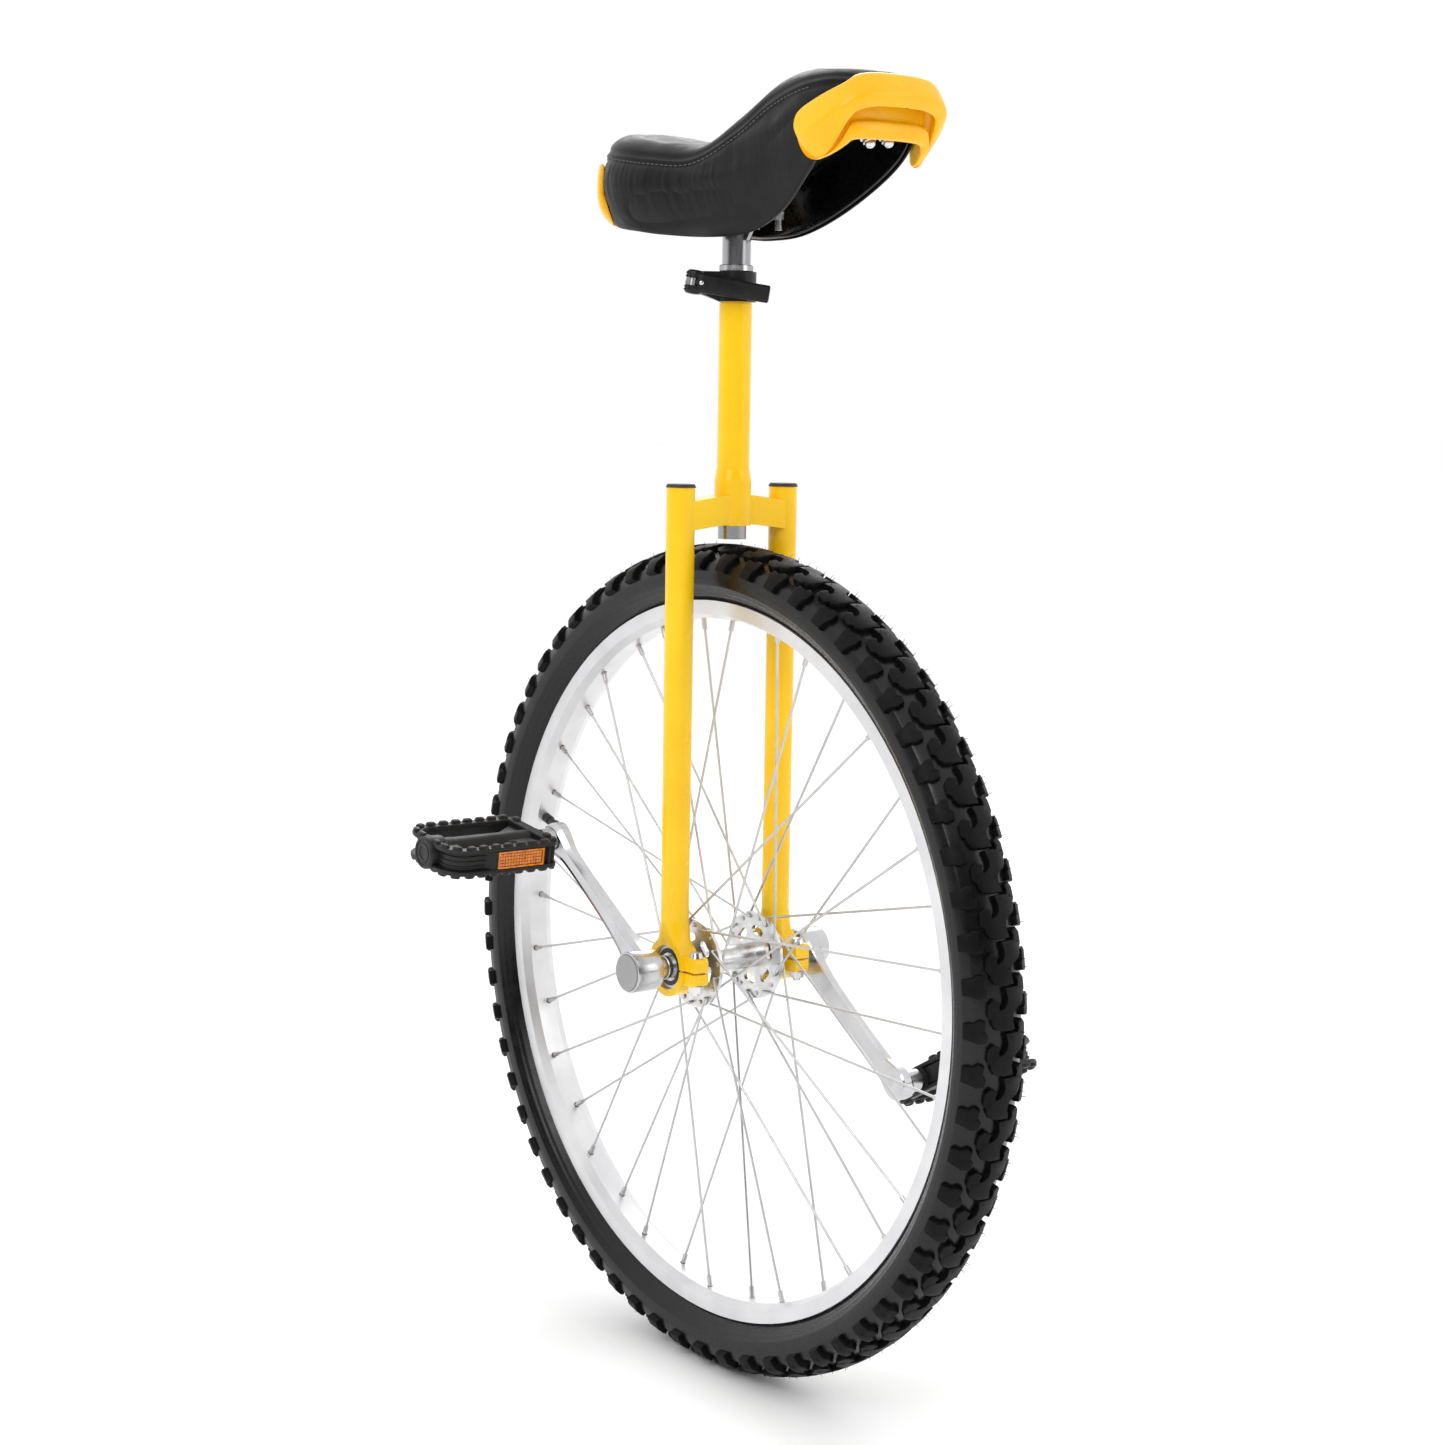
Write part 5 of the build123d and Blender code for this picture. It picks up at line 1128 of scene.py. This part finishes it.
# ================================================================ cranks
# Along the arm from the axle, in mm: half width, outer face and inner face.
CRANK_HALF_WIDTH = ((-13, 8), (-8, 13.8), (0.0, 15.6), (9, 14.4), (20, 11.9), (36, 10),
                    (70, 8.8), (110, 8), (130, 8.5), (139, 10.9), (150, 13),
                    (157, 11.2), (161.5, 6.6), (163, 2.4))
CRANK_OUTER_FACE = ((-13, 88), (0.0, 88), (20, 84.6), (60, 82.6), (120, 83.4), (150, 85),
                    (163, 85))
CRANK_INNER_FACE = ((-13, 73), (60, 73.6), (120, 74.2), (150, 73), (163, 73))
CRANK_BEVEL = 3.6
CRANK_RECESS = 0.9
CRANK_BOSS = ((11, 70.2), (14.8, 70.2), (15.7, 70.8), (16.1, 72), (16.2, 78), (16.2, 93.4),
              (15.7, 94.6), (14.6, 95), (13.8, 94.6), (13.6, 94))
AXLE_SPACER = ((8.4, 56.8), (9.2, 57.4), (9.4, 60.6), (8.8, 61.2), (8.8, 69.6), (8.4, 70.4))


def build_crank(side_name):
    """A forged arm with bevelled edges and a sunk face, its round boss and the spacer inside it."""
    side = SIDES[side_name]
    low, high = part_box("pedal_end_cap_" + side_name)
    along = Vector(((low[0] + high[0]) / 2, 0, (low[2] + high[2]) / 2 - AXLE_Z)).normalized()
    across = Vector((-along.z, 0, along.x))
    axle_end = Vector((0, 0, AXLE_Z))

    def place(a, o, u):
        return axle_end + (across * a + along * u) * MM + Vector((0, side * o * MM, 0))

    rings = []
    for t in [CRANK_HALF_WIDTH[0][0] + 2 * step for step in range(89)]:
        width = curve_at(CRANK_HALF_WIDTH, t)
        outer, inner = curve_at(CRANK_OUTER_FACE, t), curve_at(CRANK_INNER_FACE, t)
        bevel = min(CRANK_BEVEL, 0.4 * width)
        half = ((width - 1.2, inner), (width, inner + 1.2), (width, outer - bevel), (width - bevel, outer),
                (max(0.3, width - bevel - 1.4), outer - CRANK_RECESS))
        rings.append([place(-a, o, t) for a, o in half] + [place(a, o, t) for a, o in reversed(half)])
    shape = gather([join_rings(rings, cap=True), lathe(place, CRANK_BOSS, 56)])
    crank = add_mesh("crank_forged_" + side_name, shape, "crank", "wheel", sharp=30)
    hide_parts("crank_" + side_name)
    spacer = add_mesh("axle_spacer_" + side_name, lathe(place, AXLE_SPACER), "axle", "wheel", sharp=30)


for side_name in SIDES:
    build_crank(side_name)


# ================================================================ clamp collar
EAR_START, EAR_RISE = 17, 9


def build_collar():
    """The clamp's collar, whose two ears taper upwards to the lever's pin."""
    node = NODES["seat_clamp_collar"]
    ear = Vector((PIVOT.x, PIVOT.y, 0)).normalized()
    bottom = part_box("seat_clamp_collar")[0][2]
    verts = []
    for vert in node.data.vertices:
        point = node.matrix_world @ vert.co
        if point.dot(ear) / MM > EAR_START and point.z < bottom + 1 * MM:
            point.z += EAR_RISE * MM
        verts.append(point)
    faces = [tuple(polygon.vertices) for polygon in node.data.polygons]
    collar = add_mesh("clamp_collar_tapered", (verts, faces), "clamp", "frame", sharp=30)
    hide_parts("seat_clamp_collar")


build_collar()


# ================================================================ studio
DARK_WALL_SIDE = (0.79, -0.61, 0.0)
WALL_LIGHT, WALL_DARK = 1.16, 0.08
CAMERA_BEARING, CAMERA_DOWN, CAMERA_ROLL = map(math.radians, (52.787, 7.119, 0.927))
CAMERA_DISTANCE, CAMERA_SIDEWAYS, CAMERA_AIM = 2.08004, -0.005031, Vector((0, 0, 0.5194))
FLOOR_REACH = 30


def make_camera():
    """The camera: its bearing, height of view and distance from a point on the unicycle's post."""
    forward = -Vector((math.sin(CAMERA_BEARING) * math.cos(CAMERA_DOWN),
                       -math.cos(CAMERA_BEARING) * math.cos(CAMERA_DOWN), math.sin(CAMERA_DOWN)))
    right = forward.cross(Vector((0, 0, 1))).normalized()
    up = right.cross(forward)
    cosine, sine = math.cos(CAMERA_ROLL), math.sin(CAMERA_ROLL)
    right, up = cosine * right + sine * up, cosine * up - sine * right
    data = bpy.data.cameras.new("camera")
    data.sensor_width = 36
    data.lens = 65.84
    camera = add_object("camera", data)
    place = Matrix((right, up, -forward)).transposed().to_4x4()
    place.translation = CAMERA_AIM + CAMERA_SIDEWAYS * right - CAMERA_DISTANCE * forward
    camera.matrix_world = place
    bpy.context.scene.camera = camera


def make_floor():
    """A floor of matt pale studio paper."""
    mesh = bpy.data.meshes.new("floor")
    corners = ((-1, -1), (1, -1), (1, 1), (-1, 1))
    mesh.from_pydata([(x * FLOOR_REACH, y * FLOOR_REACH, 0) for x, y in corners], [], [(0, 1, 2, 3)])
    mesh.materials.append(material("floor_paper", (0.97, 0.97, 0.97), 0.9, (0.985, 0.985, 0.985),
                                   (0.995, 0.995, 0.995), (3, 4, 0, 1), None,
                                   [(300, 4, 0.0002, 0.2)], Specular_IOR_Level=0.1))
    add_object("floor", mesh)


def add_light(name, place, size, power):
    data = bpy.data.lights.new(name, "AREA")
    data.shape = "RECTANGLE"
    data.size, data.size_y = size
    data.energy = power
    light = add_object(name, data)
    light.location = place
    light.rotation_euler = (Vector((0, 0, 0.5)) - Vector(place)).to_track_quat("-Z", "Y").to_euler()


def make_world():
    """A white studio with a dark wall on the near side, which gives metal and rubber their contrast."""
    world = bpy.data.worlds.new("studio")
    world.use_nodes = True
    nodes = Nodes(world.node_tree)
    direction = nodes.node("ShaderNodeTexCoord").outputs["Generated"]
    facing = nodes.node("ShaderNodeVectorMath")
    facing.operation = "DOT_PRODUCT"
    nodes.feed(facing.inputs[0], direction)
    nodes.feed(facing.inputs[1], DARK_WALL_SIDE)
    height = nodes.node("ShaderNodeSeparateXYZ")
    nodes.feed(height.inputs[0], direction)
    dark = nodes.node("ShaderNodeMath")
    dark.operation = "MULTIPLY"
    nodes.feed(dark.inputs[0], nodes.ramp(facing.outputs["Value"], 0.05, 0.55))
    nodes.feed(dark.inputs[1], nodes.ramp(height.outputs["Z"], 0.70, 0.45))
    seen = nodes.node("ShaderNodeMix")
    nodes.feed(seen.inputs[0], nodes.node("ShaderNodeLightPath").outputs["Is Camera Ray"])
    nodes.feed(seen.inputs[2], nodes.ramp(dark.outputs[0], 0.0, 1, WALL_LIGHT, WALL_DARK))
    nodes.feed(seen.inputs[3], 1)
    background = nodes.tree.nodes["Background"].inputs
    nodes.feed(background["Color"], (1, 1, 1, 1))
    nodes.feed(background["Strength"], seen.outputs[0])
    bpy.context.scene.world = world


bpy.context.scene.view_settings.view_transform = "Standard"
make_camera()
make_floor()
make_world()
add_light("key_softbox", (1.4, -3, 2.6), (2.2, 1.8), 44)
add_light("fill_softbox", (3.2, 1.6, 1.8), (1.6, 2), 18)
add_light("back_softbox", (-2.4, 2.2, 2.6), (2, 1.6), 30)
